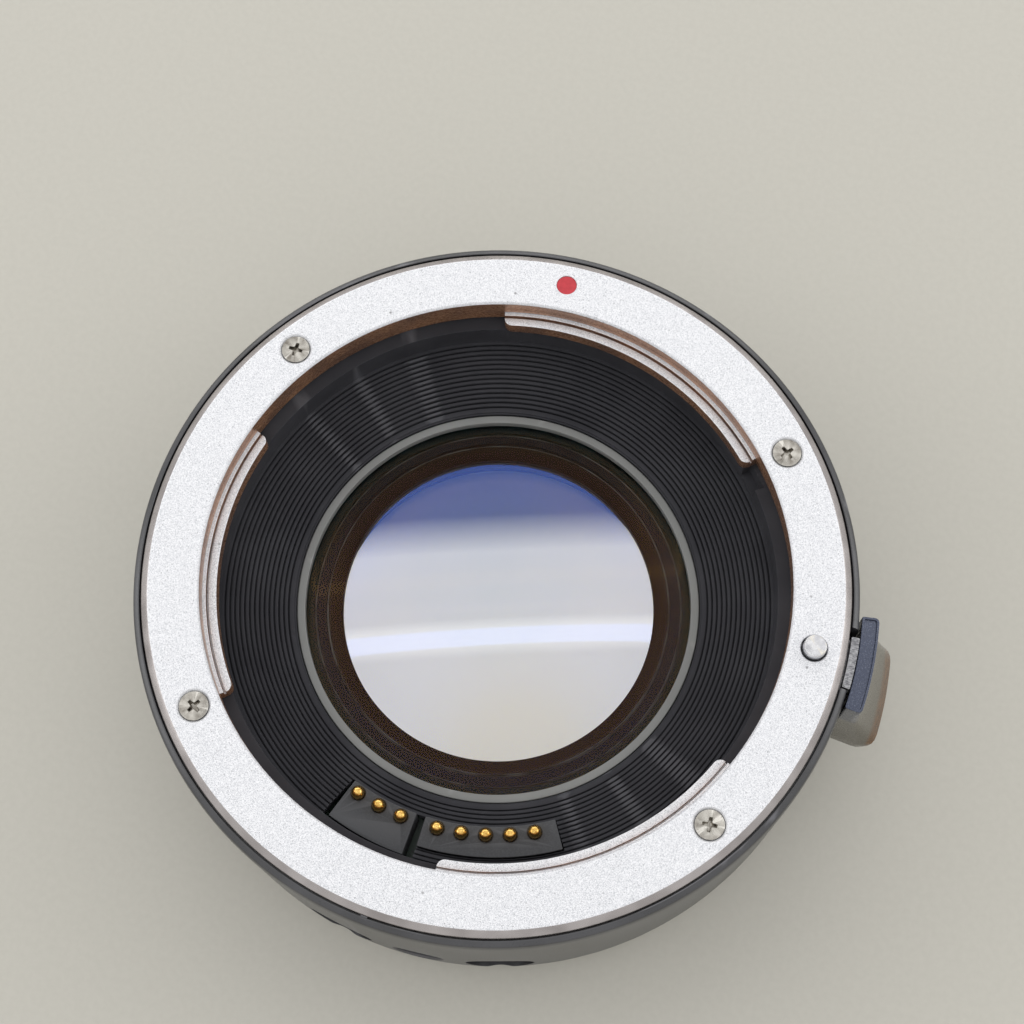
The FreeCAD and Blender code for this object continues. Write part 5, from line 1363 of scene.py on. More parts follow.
@dataclass
class RibbedBaffle:
    """Stepped, grooved funnel from the tabs down to the glass."""

    wall_r: float = 26.1
    neck_r: float = 28.1
    wall_top: float = 20.51
    foot_z: float = 17.7
    ribs: int = 15
    pitch: float = 0.44
    step_down: float = 0.17
    groove_width: float = 0.17
    groove_depth: float = 0.35
    inner_r: float = 19.35
    lip_thickness: float = 0.42
    flange_r: float = 30.3
    flange: Flat = (16.68, 17.48)
    thickness: float = 1.0
    stop_span: Flat = (50.5, 56.0)
    block_r: float = 21.8
    block_outer: Flat = (24.6, 25.75)
    block_spans: tuple[Flat, Flat] = ((152.7, 184.0), (186.2, 204.3))
    block_gap: float = 0.12

    def build(self) -> None:
        """Model the funnel, cut its pockets and dress it."""
        foot = self.wall_r - self.ribs * self.pitch
        lip_top = self.foot_z - self.ribs * self.step_down
        lip_low = lip_top - self.lip_thickness
        corners: list[Row] = [
            (self.wall_r, self.wall_top, 0.05), (self.neck_r, self.wall_top, 0.05),
            (self.neck_r, self.flange[1]), (self.flange_r, self.flange[1], 0.05),
            (self.flange_r, self.flange[0], 0.05), (self.wall_r + self.thickness, self.flange[0]),
            (self.inner_r + self.thickness, lip_low), (self.inner_r, lip_low, 0.05),
            (self.inner_r, lip_top, 0.05), (foot, lip_top),
        ]
        for index in reversed(range(self.ribs)):
            outer = self.wall_r - index * self.pitch
            level = self.foot_z - index * self.step_down
            inner = outer - self.pitch
            if index < self.ribs - 1:
                deep = level - self.step_down - self.groove_depth
                corners += [(inner, deep), (inner + self.groove_width, deep),
                            (inner + self.groove_width, level, 0.035)]
            else:
                corners.append((inner, level, 0.03))
            corners.append((outer, level, 0.012 if index else 0.0))
        baffle = Bench.turned("ribbed_funnel", eased(corners, 2), steps=320)
        Bench.boolean(baffle, self.cutters(lip_low), Cut.AWAY)
        fit(baffle, RIB_BLACK, "ribbed_baffle")

    def cutters(self, lip_low: float) -> list[Piece]:
        """Pockets of the blocks, the slot between them, the stop pocket and screw holes."""
        cutters = []
        for number, (outer, span) in enumerate(zip(self.block_outer, self.block_spans)):
            gap = math.degrees(self.block_gap / outer)
            cutters.append(Bench.sector(f"pocket_{number}",
                                        (self.block_r - self.block_gap, outer + self.block_gap),
                                        (span[0] - gap, span[1] + gap), (14.0, 18.5), ease=0.0))
        between = (self.block_spans[0][1], self.block_spans[1][0])
        cutters.append(Bench.sector("between", (self.block_r, self.wall_r), between,
                                    (lip_low - 1.0, self.foot_z + 1.0), ease=0.0))
        cutters.append(Bench.sector("stop_pocket", (self.wall_r - 1.0, 27.0), self.stop_span,
                                    (self.wall_top - 2.0, self.wall_top + 1.0), ease=0.0))
        return cutters + Bench.plugs("flange_hole", SMALL_HOLE, (18.0, 16.2), POST_CIRCLE,
                                     BAFFLE_SCREWS)


@dataclass
class ContactSet:
    """Two plastic blocks with eight sprung, domed gold pins."""

    inner_r: float = 21.8
    outer: Flat = (24.6, 25.75)
    spans: tuple[Flat, Flat] = ((152.7, 184.0), (186.2, 203.3))
    bottom: float = 14.02
    top: float = 17.5
    circle: float = 22.6
    pitch: float = 5.65
    centres: Flat = (169.35, 195.15)
    counts: tuple[int, int] = (5, 3)
    pin_r: float = 0.58
    pin_gap: float = 0.05
    collar_r: float = 0.82
    collar: float = 0.45
    foot_z: float = 15.5
    dome_top: float = 18.6
    spring_r: float = 0.58
    wire_r: float = 0.08
    spring_turns: int = 6

    def bearings(self) -> list[float]:
        """Bearings of the eight pins, those of the large block first."""
        places = []
        for centre, count in zip(self.centres, self.counts):
            first = centre - (count - 1) / 2.0 * self.pitch
            places += [first + number * self.pitch for number in range(count)]
        return places

    def build(self) -> None:
        """Model and dress the blocks, the pins and their springs."""
        places = self.bearings()
        groups = (places[:self.counts[0]], places[self.counts[0]:])
        for name, outer, span, group in zip(("large", "small"), self.outer, self.spans, groups):
            self.block(name, outer, span, group)
        self.pins(places)
        self.springs(places)

    def block(self, name: str, outer: float, span: Flat, group: Sequence[float]) -> None:
        """One block with a chamfered hole for each pin."""
        block = Bench.sector(f"{name}_block", (self.inner_r, outer), span, (self.bottom, self.top),
                             (0.15, 0.15), 0.09)
        hole, wide = self.pin_r + self.pin_gap, self.collar_r + self.pin_gap
        shoulder = self.foot_z + self.collar + 0.02
        outline = [(0.0, self.top + 0.5), (hole + 0.1, self.top + 0.5), (hole + 0.1, self.top),
                   (hole, self.top - 0.1), (hole, shoulder), (wide, shoulder),
                   (wide, self.bottom - 0.5), (0.0, self.bottom - 0.5)]
        cutters = [Bench.turned(f"{name}_hole_{number}", outline, 48, False,
                                at(self.circle, bearing)) for number, bearing in enumerate(group)]
        Bench.boolean(block, cutters, Cut.AWAY)
        fit(block, BLOCK_PLASTIC, f"contact_block_{name}")

    def pins(self, places: Sequence[float]) -> None:
        """Eight domed pins, one modelled and copied."""
        dome = self.dome_top - self.pin_r
        outline: list[Flat] = [(0.0, self.foot_z)]
        outline += eased([(self.collar_r, self.foot_z, 0.03),
                          (self.collar_r, self.foot_z + self.collar, 0.03),
                          (self.pin_r, self.foot_z + self.collar)], 2)
        for step in range(13):
            angle = math.radians(90.0 * step / 12)
            outline.append((self.pin_r * math.cos(angle), dome + self.pin_r * math.sin(angle)))
        outline[-1] = (0.0, self.dome_top)
        first = Bench.turned("gold_pin", outline, 48, False)
        for number, bearing in enumerate(places, start=1):
            twin = Bench.copy(first, f"gold_pin_{number}", placed(self.circle, bearing, 0.0))
            fit(twin, GOLD, f"contact_pin_{number}")
        bpy.data.objects.remove(first)

    def springs(self, places: Sequence[float]) -> None:
        """Eight coil springs on the board, one modelled and copied."""
        low, high = self.bottom + self.wire_r, self.foot_z - 0.02 - self.wire_r
        first = coil("pin_coil", self.spring_r, self.wire_r, low, high, self.spring_turns)
        for number, bearing in enumerate(places, start=1):
            twin = Bench.copy(first, f"pin_coil_{number}", placed(self.circle, bearing, 0.0))
            fit(twin, LEAF_STEEL, f"contact_spring_{number}", 60.0)
            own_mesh(twin)
        bpy.data.objects.remove(first)


def coil(name: str, radius: float, wire: float, low: float, high: float, turns: int) -> Piece:
    """Coil spring on the axis, from a small ring of wire and a screw modifier.

    Args:
        name: Name of the piece.
        radius: Radius of the coil at the middle of the wire.
        wire: Radius of the wire.
        low: Height of the wire's middle at the start.
        high: Height of the wire's middle at the end.
        turns: Number of turns.

    Returns:
        The closed coil.
    """
    sides = 8
    ring = [at(radius + wire * math.cos(2 * math.pi * side / sides), 90.0,
               low + wire * math.sin(2 * math.pi * side / sides)) for side in range(sides)]
    return Bench.wound(name, ring, (high - low) / turns, turns, 20, FINE_WELD)


@dataclass
class Optics:
    """Lens cell, lip ring, the glasses and the rings between them."""

    steps: int = 256
    edge_tilt: float = 0.8
    lip: Flat = (18.48, 19.25)
    lip_heights: Flat = (14.15, 15.0)
    inner_rings: Flat = (14.8, 16.4)
    cell_r: float = 20.0
    cell_bore: float = 19.3
    cell_top: float = 14.6
    flange_r: float = 24.0
    flange: Flat = (7.92, 9.4)
    rear_r: float = 17.35
    rear_z: float = 2.0
    bore_r: float = 16.45
    seat_z: float = 13.25
    front_bore: float = 19.0
    front_edge: float = 14.1
    stop_r: float = 14.8
    stop_rear: float = 10.65
    stop_cone: float = 0.9
    bands_low: float = 11.65
    lead_r: float = 16.0
    lead_in: float = 0.55
    groove_radii: Flat = (16.3, 17.5)
    groove_width: float = 0.25
    groove_depth: float = 0.3
    cable_span: Flat = (172.0, 188.0)

    def build(self) -> None:
        """Model and dress every piece of the optics."""
        self.cell()
        self.rings()
        self.glasses()

    def cell(self) -> None:
        """Black tube with the stepped, grooved stop under the front glass."""
        corners: list[Row] = [
            (self.cell_bore, self.cell_top, 0.05), (self.cell_r, self.cell_top, 0.08),
            (self.cell_r, self.flange[1]), (self.flange_r, self.flange[1], 0.08),
            (self.flange_r, self.flange[0], 0.05), (self.rear_r, self.flange[0]),
            (self.rear_r, self.rear_z, 0.1), (self.bore_r, self.rear_z, 0.06),
            (self.bore_r, self.stop_rear), (self.stop_r + self.stop_cone, self.stop_rear, 0.05),
            (self.stop_r, self.stop_rear + self.stop_cone, 0.03),
            (self.stop_r, self.seat_z - self.lead_in, 0.04), (self.lead_r, self.seat_z, 0.03),
        ]
        for radius in self.groove_radii:
            low = self.seat_z - self.groove_depth
            corners += [(radius, self.seat_z, 0.03), (radius, low),
                        (radius + self.groove_width, low),
                        (radius + self.groove_width, self.seat_z, 0.03)]
        corners += [(self.front_bore, self.seat_z), (self.front_bore, self.front_edge),
                    (self.cell_bore, self.front_edge)]
        cell = Bench.turned("glass_cell", eased(corners, 2), self.steps)
        cutters = [Bench.sector("cable_notch", (self.cell_r, self.flange_r + 1.0), self.cable_span,
                                (6.9, self.flange[1] + 1.0), ease=0.0)]
        cutters += Bench.plugs("cell_hole", SMALL_HOLE, (10.0, 7.0), CELL_SCREW_CIRCLE,
                               CELL_SCREWS)
        Bench.boolean(cell, cutters, Cut.AWAY)
        # The stop faces under the front glass get the bands of painted light and shade.
        coat(cell, CELL_BLACK, STOP_PAINTED_BANDS)
        for face in cell.data.polygons:
            centre = face.center / MM
            if centre.z > self.bands_low and math.hypot(centre.x, centre.y) < self.front_bore:
                face.material_index = 1
        fit(cell, CELL_BLACK, "lens_cell")

    def rings(self) -> None:
        """Grey lip ring, black spacer and rear retaining ring with its two spanner slots."""
        low, high = self.lip_heights
        lip = Bench.turned("lip_ring", eased([
            (self.lip[0], high, 0.1), (self.lip[1], high, 0.12), (self.lip[1], low, 0.04),
            (self.lip[0], low, 0.04)]), self.steps)
        fit(lip, LIP_GREY, "front_retaining_ring")
        inner, outer = self.inner_rings
        spacer = Bench.turned("glass_spacer", eased([
            (inner, 5.88, 0.05), (outer, 5.88, 0.04), (outer, 4.92, 0.04), (inner, 4.92, 0.05),
            (inner + 0.15, 5.4, 0.1)]), 192)
        fit(spacer, CELL_BLACK, "element_spacer")
        rear = Bench.turned("rear_lock_ring", eased([
            (inner, 2.98, 0.04), (outer, 2.98, 0.04), (outer, 2.2, 0.08),
            (inner + 0.3, 2.2, 0.1), (inner, 2.5, 0.08)]), 192)
        slots = [Bench.box(f"spanner_{number}", (14.0, 15.8), (-0.5, 0.5), (1.8, 2.55), bearing)
                 for number, bearing in enumerate((35.0, 215.0))]
        Bench.boolean(rear, slots, Cut.AWAY)
        fit(rear, CELL_BLACK, "rear_retaining_ring")

    def glasses(self) -> None:
        """The front glass, the cemented pair as one piece, and the rear glass."""
        self.glass("front_glass", "front_element", 18.95, (13.27, 14.05), 60.0, 18.43)
        pair = self.glass("cemented_pair", "middle_front_element", 16.4, (5.9, 10.63), 100.0,
                          14.7, BLUE_GLASS, 12.1)
        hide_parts("middle_rear_element")
        self.glass("rear_glass", "rear_element", 16.4, (3.0, 4.9), 320.0, 14.75)

    def glass(self, name: str, node: str, radius: float, heights: Flat, curve: float,
              clear: float, upper: Finish | None = None, crown: float | None = None) -> Piece:
        """One glass with finely divided, smooth surfaces and ground edge chamfers.

        Args:
            name: Name of the piece.
            node: The node that it stands for.
            radius: Outer radius.
            heights: Bottom and top height at the edge.
            curve: Radius of the upper surface.
            clear: Radius of its curved part.
            upper: Finish of the upper face, clear glass if not given.
            crown: Height at the edge of the curved part, where it stands above the rim.

        Returns:
            The glass, flat below, its ground edge painted black.
        """
        low, high = heights
        outline: list[Flat] = []
        runs = 24
        for number in range(runs + 1):
            spot = clear * number / runs
            rise = math.sqrt(curve ** 2 - spot ** 2) - math.sqrt(curve ** 2 - clear ** 2)
            outline.append((spot, (crown or high) + rise))
        bevel = 0.08
        if crown:
            outline += [(clear, high + bevel), (clear + bevel, high)]
        outline += [(radius - bevel, high), (radius, high - bevel), (radius, low + bevel)]
        outline += [((radius - bevel) * number / 6, low) for number in range(6, -1, -1)]
        piece = Bench.turned(name, outline, 192, False)
        coat(piece, upper or GLASS, CELL_BLACK, GLASS)
        for face in piece.data.polygons:
            if abs(face.normal.z) < self.edge_tilt:
                face.material_index = 1
            elif face.normal.z < 0.0:
                face.material_index = 2
        return fit(piece, GLASS, node, 20.0)


@dataclass
class ReleaseLever:
    """Lock pin, steel arm, knob and the spring under the arm."""

    pin_r: float = 1.05
    pin_top: float = 25.37
    pin_chamfer: float = 0.15
    stem_r: float = 0.55
    arm_heights: Flat = (21.7, 22.7)
    arm_across: Flat = (-2.775, 2.075)
    arm_inner: float = 28.2
    leg_radii: Flat = (32.55, 33.3)
    leg_heights: Flat = (16.5, 23.9)
    knob_r: float = 33.42
    knob_top: float = 23.2
    neck_z: float = 19.5
    flare_z: float = 13.2
    foot_z: float = 11.9
    thick: tuple[float, float, float, float] = (1.6, 2.9, 4.45, 4.0)
    half: tuple[float, float, float, float] = (4.55, 4.75, 5.15, 5.15)
    corner: tuple[float, float, float, float] = (0.5, 1.0, 1.5, 1.5)
    dish_rim: float = 0.22
    dish_depth: float = 0.3
    screw_drops: Flat = (3.4, 6.2)
    spring_r: float = 0.8
    wire_r: float = 0.15
    spring_heights: Flat = (18.02, 21.68)

    def build(self) -> None:
        """Model and dress the pin, the arm, the knob, its screws and the spring."""
        self.pin()
        self.arm()
        self.knob()
        self.spring()

    def pin(self) -> None:
        """Bright pin with a rounded top edge."""
        low, high = self.arm_heights
        outline = eased([(0.0, self.pin_top), (self.pin_r - self.pin_chamfer * 0.3, self.pin_top, 0.2),
                         (self.pin_r, self.pin_top - 0.28, 0.2), (self.pin_r, high + 0.02, 0.05),
                         (self.stem_r, high + 0.02), (self.stem_r, low, 0.05), (0.0, low)],
                        4, closed=False)
        pin = Bench.turned("lens_lock_pin", outline, 64, False,
                           at(PIN_CIRCLE, LEVER))
        fit(pin, PIN_STEEL, "lock_pin", 60.0)

    def arm(self) -> None:
        """Flat arm under the ring, joined to the curved leg in the rim's notch."""
        flat = Bench.box("steel_arm", (27.4, 32.9), self.arm_across, self.arm_heights,
                         LEVER, 0.06)
        clear = Bench.plug("arm_clear", self.arm_inner, 23.4, 21.0, 256)
        start = LEVER - math.degrees(math.asin(self.arm_across[1] / self.leg_radii[1]))
        end = LEVER + math.degrees(math.asin(-self.arm_across[0] / self.leg_radii[1]))
        leg = Bench.sector("leg", self.leg_radii, (start, end), self.leg_heights, (0.1, 0.1), 0.07,
                           0.8)
        Bench.boolean(flat, [clear], Cut.AWAY)
        Bench.boolean(flat, [leg], Cut.JOIN)
        hole = Bench.plug("stem_hole", 0.57, 23.0, 21.0, centre=at(PIN_CIRCLE, LEVER))
        cutters = [hole, *self.bores("leg_hole", 31.8, 3.0)]
        Bench.boolean(flat, cutters, Cut.AWAY)
        fit(flat, ARM_STEEL, "lever_arm")

    def bores(self, name: str, radius: float, reach: float) -> list[Piece]:
        """Tools for the knob screws' holes, from 1 mm inside a radius to a reach outside it."""
        side = at(1.0, LEVER - 90.0) * (sum(self.arm_across) / 2.0)
        return [Bench.turn(Bench.plug(f"{name}_{number}", 0.5, reach, -1.0),
                           Matrix.Translation(side)
                           @ sideways(radius, LEVER, self.leg_heights[1] - drop))
                for number, drop in enumerate(self.screw_drops)]

    def section(self, thick: float, half: float, corner: float, height: float,
                inset: float = 0.0) -> list[Vector]:
        """Plan of the knob at one height.

        Args:
            thick: Thickness away from the barrel.
            half: Half width.
            corner: Rounding of the outer corners.
            height: Height of the section.
            inset: How far the outer sides are drawn in, for an eased edge.

        Returns:
            The points in metres.
        """
        outer = self.knob_r + thick - inset
        angle = math.degrees(math.asin((half - inset) / outer))
        return Bench.sector_plan((self.knob_r + inset, outer),
                                 (LEVER - angle, LEVER + angle), height,
                                 (0.2, corner), 16)

    def knob(self) -> None:
        """Thumb piece lofted through its sections, with a shallow dish on top."""
        rings = [self.section(self.thick[3], self.half[3], self.corner[3], self.foot_z + lift, inset)
                 for lift, inset in ((0.0, 0.16), (0.06, 0.05), (0.18, 0.0))]
        for share in (0.25, 0.5, 0.75, 1.0):
            thick = self.thick[3] + (self.thick[2] - self.thick[3]) * share
            rings.append(self.section(thick, self.half[2], self.corner[2],
                                      self.foot_z + (self.flare_z - self.foot_z) * share))
        for share in [number / 14.0 for number in range(1, 15)]:
            height = self.flare_z + (self.neck_z - self.flare_z) * share
            rings.append(self.section(*self.skirt(share), height))
        for height, inset in ((self.neck_z + 1.2, 0.0), (self.neck_z + 2.4, 0.0),
                              (self.knob_top - 0.12, 0.0), (self.knob_top - 0.03, 0.03),
                              (self.knob_top, 0.1)):
            rings.append(self.section(self.thick[0], self.half[0], self.corner[0], height, inset))
        knob = Bench.lofted("thumb_knob", rings)
        outer = self.knob_r + self.thick[0]
        angle = math.degrees((self.half[0] - self.dish_rim) / outer)
        dish = Bench.sector("dish", (self.knob_r + self.dish_rim, outer - self.dish_rim),
                            (LEVER - angle, LEVER + angle),
                            (self.knob_top - self.dish_depth, self.knob_top + 1.0), (0.15, 0.3), 0.1)
        Bench.boolean(knob, [dish, *self.bores("knob_hole", self.knob_r, 1.02)], Cut.AWAY)
        fit(knob, KNOB_PAINTED_REFLECTIONS, "release_knob", 30.0)

    def skirt(self, share: float) -> tuple[float, float, float]:
        """Thickness, half width and corner of the flare, from its foot at 0 to the neck at 1."""
        def bend(row: Sequence[float]) -> float:
            """Curve through the flare, the waist and the neck."""
            low, middle, high = row[2], row[1], row[0]
            return (low * (1 - share) * (1 - 2 * share) + middle * 4 * share * (1 - share)
                    + high * share * (2 * share - 1))

        return bend(self.thick), bend(self.half), bend(self.corner)

    def spring(self) -> None:
        """Coil spring in its pocket under the arm."""
        low, high = self.spring_heights
        spring = coil("arm_coil", self.spring_r, self.wire_r, low + self.wire_r,
                      high - self.wire_r, 6)
        Bench.turn(spring, placed(SPRING_CIRCLE, LEVER, 0.0))
        fit(spring, LEAF_STEEL, "lock_pin_spring", 60.0)
        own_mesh(spring)


@dataclass
class RearBayonet:
    """Camera side: plate, bayonet ring with lugs, screws, contact block and pads."""

    tube: Flat = (20.4, 21.6)
    undercut_r: float = 20.7
    land: float = 1.5
    lug_r: float = 23.0
    lug_heights: Flat = (1.0, 2.4)
    lug_half: float = 27.0
    lug_bearings: Row = (30.0, 150.0, 270.0)
    flange_r: float = 30.6
    flange: Flat = (4.5, 5.88)
    screw_circle: float = 27.0
    screw_bearings: Row = (38.0, 142.0, 218.0, 322.0)
    screw_twists: Row = (15.0, 33.0, 5.0, 24.0)
    lock_hole_r: float = 1.6
    lock_bearing: float = 270.0
    plate_inner: float = 20.8
    plate_step: float = 30.75
    plate_r: float = 31.5
    plate: tuple[float, float, float] = (5.2, 5.9, 7.9)
    boss_room: tuple[float, float] = (27.9, 3.8)
    ear_span: Flat = (157.0, 203.0)
    ear_r: float = 23.0
    block_span: Flat = (145.0, 215.0)
    block_radii: Flat = (17.5, 20.25)
    block_heights: Flat = (1.8, 7.9)
    pads: int = 10
    pad_pitch: float = 6.4
    pad_span: float = 4.4
    pad_radii: Flat = (18.175, 19.575)
    pad_heights: Flat = (1.6, 1.78)
    screw: CrossScrew = field(default_factory=lambda: CrossScrew(length=3.2))
    plate_screw: CrossScrew = field(default_factory=lambda: CrossScrew(1.25, 0.6, 4.1))

    def build(self) -> None:
        """Model and dress every piece of the camera side."""
        self.ring()
        self.screws()
        self.back_plate()
        self.contacts()

    def ring(self) -> None:
        """Flange, tube and three lugs, with countersinks and the lock hole."""
        inner, outer = self.tube
        ring = Bench.turned("camera_ring", eased([
            (outer, 0.0, 0.15), (outer, self.flange[0], 0.1), (self.flange_r, self.flange[0], 0.15),
            (self.flange_r, self.flange[1], 0.05), (self.undercut_r, self.flange[1], 0.05),
            (self.undercut_r, self.land), (inner, self.land, 0.05), (inner, 0.0, 0.12)]), 320)
        lugs = []
        for number, bearing in enumerate(self.lug_bearings):
            lugs.append(Bench.sector(f"lug_{number}", (outer - 0.45, self.lug_r),
                                     (bearing - self.lug_half, bearing + self.lug_half),
                                     self.lug_heights, (0.15, 0.5), 0.1))
        Bench.boolean(ring, lugs, Cut.JOIN)
        cutters = self.screw.seats(2.4, [placed(self.screw_circle, bearing, self.flange[0], True)
                                         for bearing in self.screw_bearings])
        cutters.append(Bench.turn(Bench.drill("lock_hole", self.lock_hole_r, 0.1, 2.4),
                                  placed(self.screw_circle, self.lock_bearing, self.flange[0],
                                         True)))
        Bench.boolean(ring, cutters, Cut.AWAY)
        fit(ring, REAR_CHROME, "camera_mount_ring")

    def screws(self) -> None:
        """Four screws of the ring and four of the plate, each modelled once and copied."""
        rows = (
            ("camera_screw", self.screw, self.screw_circle, self.screw_bearings,
             self.flange[0] + 0.06, "camera_mount_screws"),
            ("plate_screw", self.plate_screw, POST_CIRCLE, POSTS, self.plate[1] + 0.06,
             "rear_plate_screws"),
        )
        for name, screw, circle, bearings, height, node in rows:
            spots = [placed(circle, bearing, height, True, twist)
                     for bearing, twist in zip(bearings, self.screw_twists)]
            fit(Bench.row(screw.build(name), spots), NICKEL, node)

    def back_plate(self) -> None:
        """Black plate that closes the barrel, with room for the boss and the contacts."""
        rim, low, high = self.plate
        plate = Bench.turned("back_plate", eased([
            (self.plate_inner, low, 0.05), (self.plate_step, low), (self.plate_step, rim, 0.1),
            (self.plate_r, rim, 0.1), (self.plate_r, high, 0.1), (self.plate_inner, high, 0.05)]),
            320)
        start, half = self.boss_room
        cutters = [Bench.box("boss_room", (start, self.plate_r + 1.0), (-half, half),
                             (low, high + 1.0), 180.0)]
        gap = math.degrees(0.1 / self.ear_r)
        cutters.append(Bench.sector("ear_room", (self.plate_inner - 1.0, self.ear_r + 0.1),
                                    (self.ear_span[0] - gap, self.ear_span[1] + gap),
                                    (low - 1.0, high + 1.0), ease=0.0))
        cutters += self.plate_screw.seats(3.0, [placed(POST_CIRCLE, bearing, low, True)
                                                for bearing in POSTS], 0.02)
        ends = (high + 0.5, low - 0.5)
        cutters += Bench.plugs("ring_hole", 0.85, ends, self.screw_circle, self.screw_bearings)
        cutters += Bench.plugs("cell_hole", SMALL_HOLE, ends, CELL_SCREW_CIRCLE, CELL_SCREWS)
        Bench.boolean(plate, cutters, Cut.AWAY)
        fit(plate, PLATE_BLACK, "rear_plate")

    def contacts(self) -> None:
        """Plastic arc with its ear, and the row of gold pads in shallow seats."""
        block = Bench.sector("rear_block", self.block_radii, self.block_span, self.block_heights,
                             (0.4, 0.4), 0.1)
        ear = Bench.sector("ear", (self.block_radii[0] + 0.15, self.ear_r), self.ear_span,
                           (5.9, 7.89), (0.15, 0.15), 0.08)
        Bench.boolean(block, [ear], Cut.JOIN)
        fit(block, BLOCK_PLASTIC, "rear_contact_block")
        middle = sum(self.block_span) / 2.0
        first = middle - (self.pads - 1) / 2.0 * self.pad_pitch
        model = Bench.sector("gold_pad", self.pad_radii,
                             (90.0 - self.pad_span / 2.0, 90.0 + self.pad_span / 2.0),
                             self.pad_heights, (0.15, 0.15), 0.05, 0.6)
        spots = [Matrix.Rotation(math.radians(90.0 - first - number * self.pad_pitch), 4, "Z")
                 for number in range(self.pads)]
        fit(Bench.row(model, spots), GOLD, "rear_contact_pads")


@dataclass
class CarriedNodes:
    """Solids that are shown as they are, with a better finish."""

    finishes: dict[str, Finish] = field(default_factory=lambda: {
        "bayonet_springs": LEAF_STEEL,
        "baffle_screws": NICKEL,
        "control_board": BOARD_MASK,
        "board_screws": NICKEL,
        "board_components": CHIP_PLASTIC,
        "flex_cable": FILM,
        "cell_screws": NICKEL,
        "knob_screws": NICKEL,
    })

    def build(self) -> None:
        """Dress each solid that no modelled piece stands for."""
        for node, finish in self.finishes.items():
            solid = frame["nodes"][node]
            solid.data.materials.clear()
            coat(solid, finish)
            LOG.info("%s: kept with %s", node, finish.name)


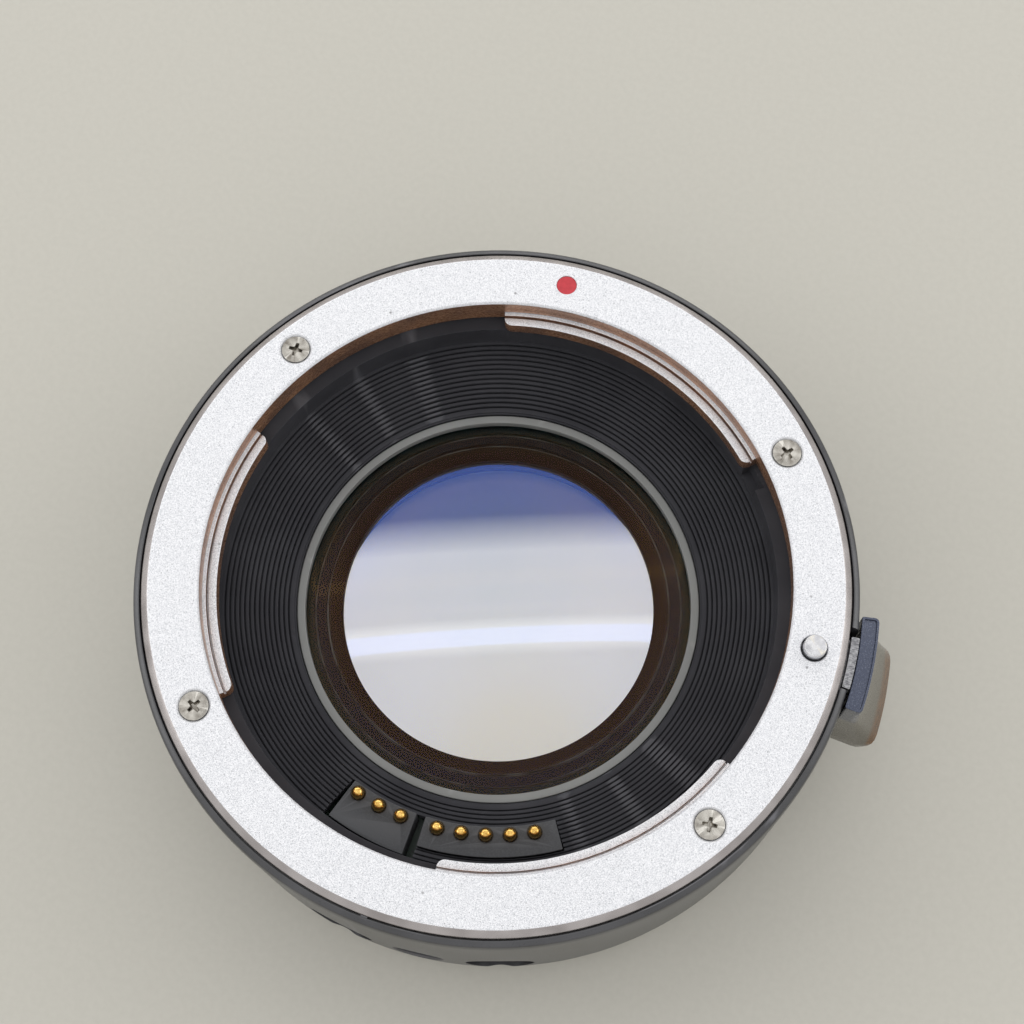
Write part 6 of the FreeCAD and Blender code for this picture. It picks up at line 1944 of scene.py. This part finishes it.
@dataclass
class Studio:
    """Pale floor, soft light and the camera at the photograph's angle."""

    floor_colour: Colour = srgb(190, 187, 177)
    floor_speck: Colour = srgb(193, 190, 180)
    floor_size: float = 3.0
    sky: tuple[Flat, ...] = ((0.0, 0.66), (0.4, 0.98), (0.79, 1.0), (0.826, 0.93), (0.86, 0.62),
                             (0.895, 0.47), (0.923, 0.45), (0.956, 0.42), (0.979, 0.27),
                             (0.994, 0.05))
    sky_peak: float = 1.36
    # Painted light through the glasses: its level, the painted shadow edge at the far side, and a
    # painted sheen stripe with its level.
    painted_light: float = 0.55
    painted_shadow_edge: Flat = (7.6, 11.0)
    painted_sheen_band: tuple[Flat, Flat] = ((-1.6, -0.6), (0.9, 1.7))
    painted_sheen_level: float = 0.19
    camera_place: tuple[float, float, float] = (14.52, -44.44, 178.72)
    camera_turn: float = 15.9
    camera_elevation: float = 71.184
    camera_roll: float = -2.876
    lens: float = 62.355

    def build(self) -> None:
        """Set up the floor, the world, the lamps and the camera."""
        bpy.context.scene.view_settings.view_transform = "Standard"
        self.floor()
        self.world()
        self.lamps()
        self.camera()

    def axes(self) -> tuple[Vector, Vector, Vector]:
        """Right, up and backward direction of the camera."""
        turn = math.radians(self.camera_turn)
        rise = math.radians(self.camera_elevation)
        roll = math.radians(self.camera_roll)
        ahead = Vector((-math.sin(turn) * math.cos(rise), math.cos(turn) * math.cos(rise),
                        -math.sin(rise)))
        right = Vector((math.cos(turn), math.sin(turn), 0.0))
        up = right.cross(ahead)
        return (right * math.cos(roll) + up * math.sin(roll),
                up * math.cos(roll) - right * math.sin(roll), -ahead)

    def camera(self) -> None:
        """The camera that takes the photograph's view."""
        lens = bpy.data.cameras.new("studio_camera")
        lens.lens = self.lens
        lens.sensor_width = 36.0
        lens.sensor_fit = "HORIZONTAL"
        lens.clip_start, lens.clip_end = 0.01, 20.0
        turn = Matrix(self.axes()).transposed().to_4x4()
        place = Matrix.Translation(Vector(self.camera_place) * MM)
        bpy.context.scene.camera = hang(lens, place @ turn)

    def far(self, side: float, away: float, height: float) -> Vector:
        """Place given by metres to the camera's right, away from it and over the floor."""
        turn = math.radians(self.camera_turn)
        return (Vector((math.cos(turn), math.sin(turn), 0.0)) * side
                + Vector((-math.sin(turn), math.cos(turn), 0.0)) * away
                + Vector((0.0, 0.0, height)))

    def floor(self) -> None:
        """Pale floor in the rest plane, plain where seen directly, with painted light where seen
        through the glasses.
        """
        bpy.ops.object.select_all(action="DESELECT")
        bpy.ops.mesh.primitive_plane_add(size=self.floor_size, location=(0.0, 0.0, 0.0))
        floor = bpy.context.object
        floor.name = "studio_floor"
        recipe = Recipe("pale floor")
        speck = recipe.noise(0.7, 3.0)
        recipe.surface(recipe.mottle(speck, 0.35, 0.65, self.floor_colour, self.floor_speck),
                       speck, (0.4, 0.46))
        self.show_through(recipe)
        floor.data.materials.append(recipe.material)

    def show_through(self, recipe: Recipe) -> None:
        """Where the floor is seen through the glasses, paint light on it: a glow, a painted shadow
        towards the far side and a painted sheen stripe.
        """
        away = recipe.add("VectorMath", {0: recipe.place, 1: self.far(0.0, 1.0, 0.0)}, "Value",
                          operation="DOT_PRODUCT")
        painted_light = recipe.spread(away, self.painted_shadow_edge[0] * MM, self.painted_shadow_edge[1] * MM, self.painted_light, 0.01)
        rise, fall = self.painted_sheen_band
        painted_sheen_band = recipe.combine("MULTIPLY", recipe.spread(away, rise[0] * MM, rise[1] * MM),
                              recipe.spread(away, fall[0] * MM, fall[1] * MM, self.painted_sheen_level, 0.0))
        # Painted light: a bluish glow, only for rays that come through the glasses.
        seen = recipe.add("LightPath", {}, "Is Transmission Ray")
        recipe.uniform(Emission_Color=(0.915, 0.925, 1.0))
        recipe.feed("Emission Strength",
                    recipe.combine("MULTIPLY", recipe.combine("ADD", painted_light, painted_sheen_band), seen))

    def world(self) -> None:
        """White sky, darker round the zenith, so that the glasses mirror little there."""
        world = bpy.data.worlds.new("studio_sky")
        bpy.context.scene.world = world
        world.use_nodes = True
        tree = world.node_tree
        toward = add_node(tree, "VectorMath", {
            0: add_node(tree, "TexCoord", {}, "Generated"),
            1: self.far(0.0, 0.158, 1.0).normalized()}, "Value", operation="DOT_PRODUCT")
        near = add_node(tree, "MapRange", {"Value": toward, "From Min": 0.9}, "Result")
        colour = add_node(tree, "ValToRGB", {"Fac": near}, "Color")
        steps = colour.node.color_ramp.elements
        for number, (spot, strength) in enumerate(self.sky):
            step = steps[number] if number < len(steps) else steps.new(spot)
            step.position = spot
            step.color = (strength, strength, strength, 1.0)
        back = tree.nodes["Background"]
        tree.links.new(colour, back.inputs["Color"])
        back.inputs["Strength"].default_value = self.sky_peak

    def lamps(self) -> None:
        """Soft windows on the far, left and right side and a faint strip overhead."""
        lamps = (
            ("strip", self.far(0.0, 0.2, 0.8), (1.0, 0.012), 1.0),
            ("far_window", self.far(0.0, 0.85, 0.38), (1.4, 0.25), 1.6),
            ("left_window", self.far(-0.7, 0.1, 0.45), (0.5, 0.3), 1.6),
            ("right_window", self.far(0.7, 0.1, 0.45), (0.5, 0.3), 1.6),
        )
        target = Vector((0.0, 0.0, 0.02))
        for name, place, size, radiance in lamps:
            lamp = bpy.data.lights.new(name, "AREA")
            lamp.shape = "RECTANGLE"
            lamp.size, lamp.size_y = size
            lamp.energy = radiance * math.pi * size[0] * size[1]
            aim = (target - place).to_track_quat("-Z", "Y").to_matrix().to_4x4()
            hang(lamp, Matrix.Translation(place) @ aim)


def main() -> None:
    """Build the studio and every sub-assembly in order."""
    makers: Iterable[Callable[[], None]] = (
        Studio().build, LensBayonet().build, BarrelShell().build, RibbedBaffle().build,
        ContactSet().build, Optics().build, ReleaseLever().build, RearBayonet().build,
        CarriedNodes().build,
    )
    for make in makers:
        make()


if __name__ == "__main__":
    main()
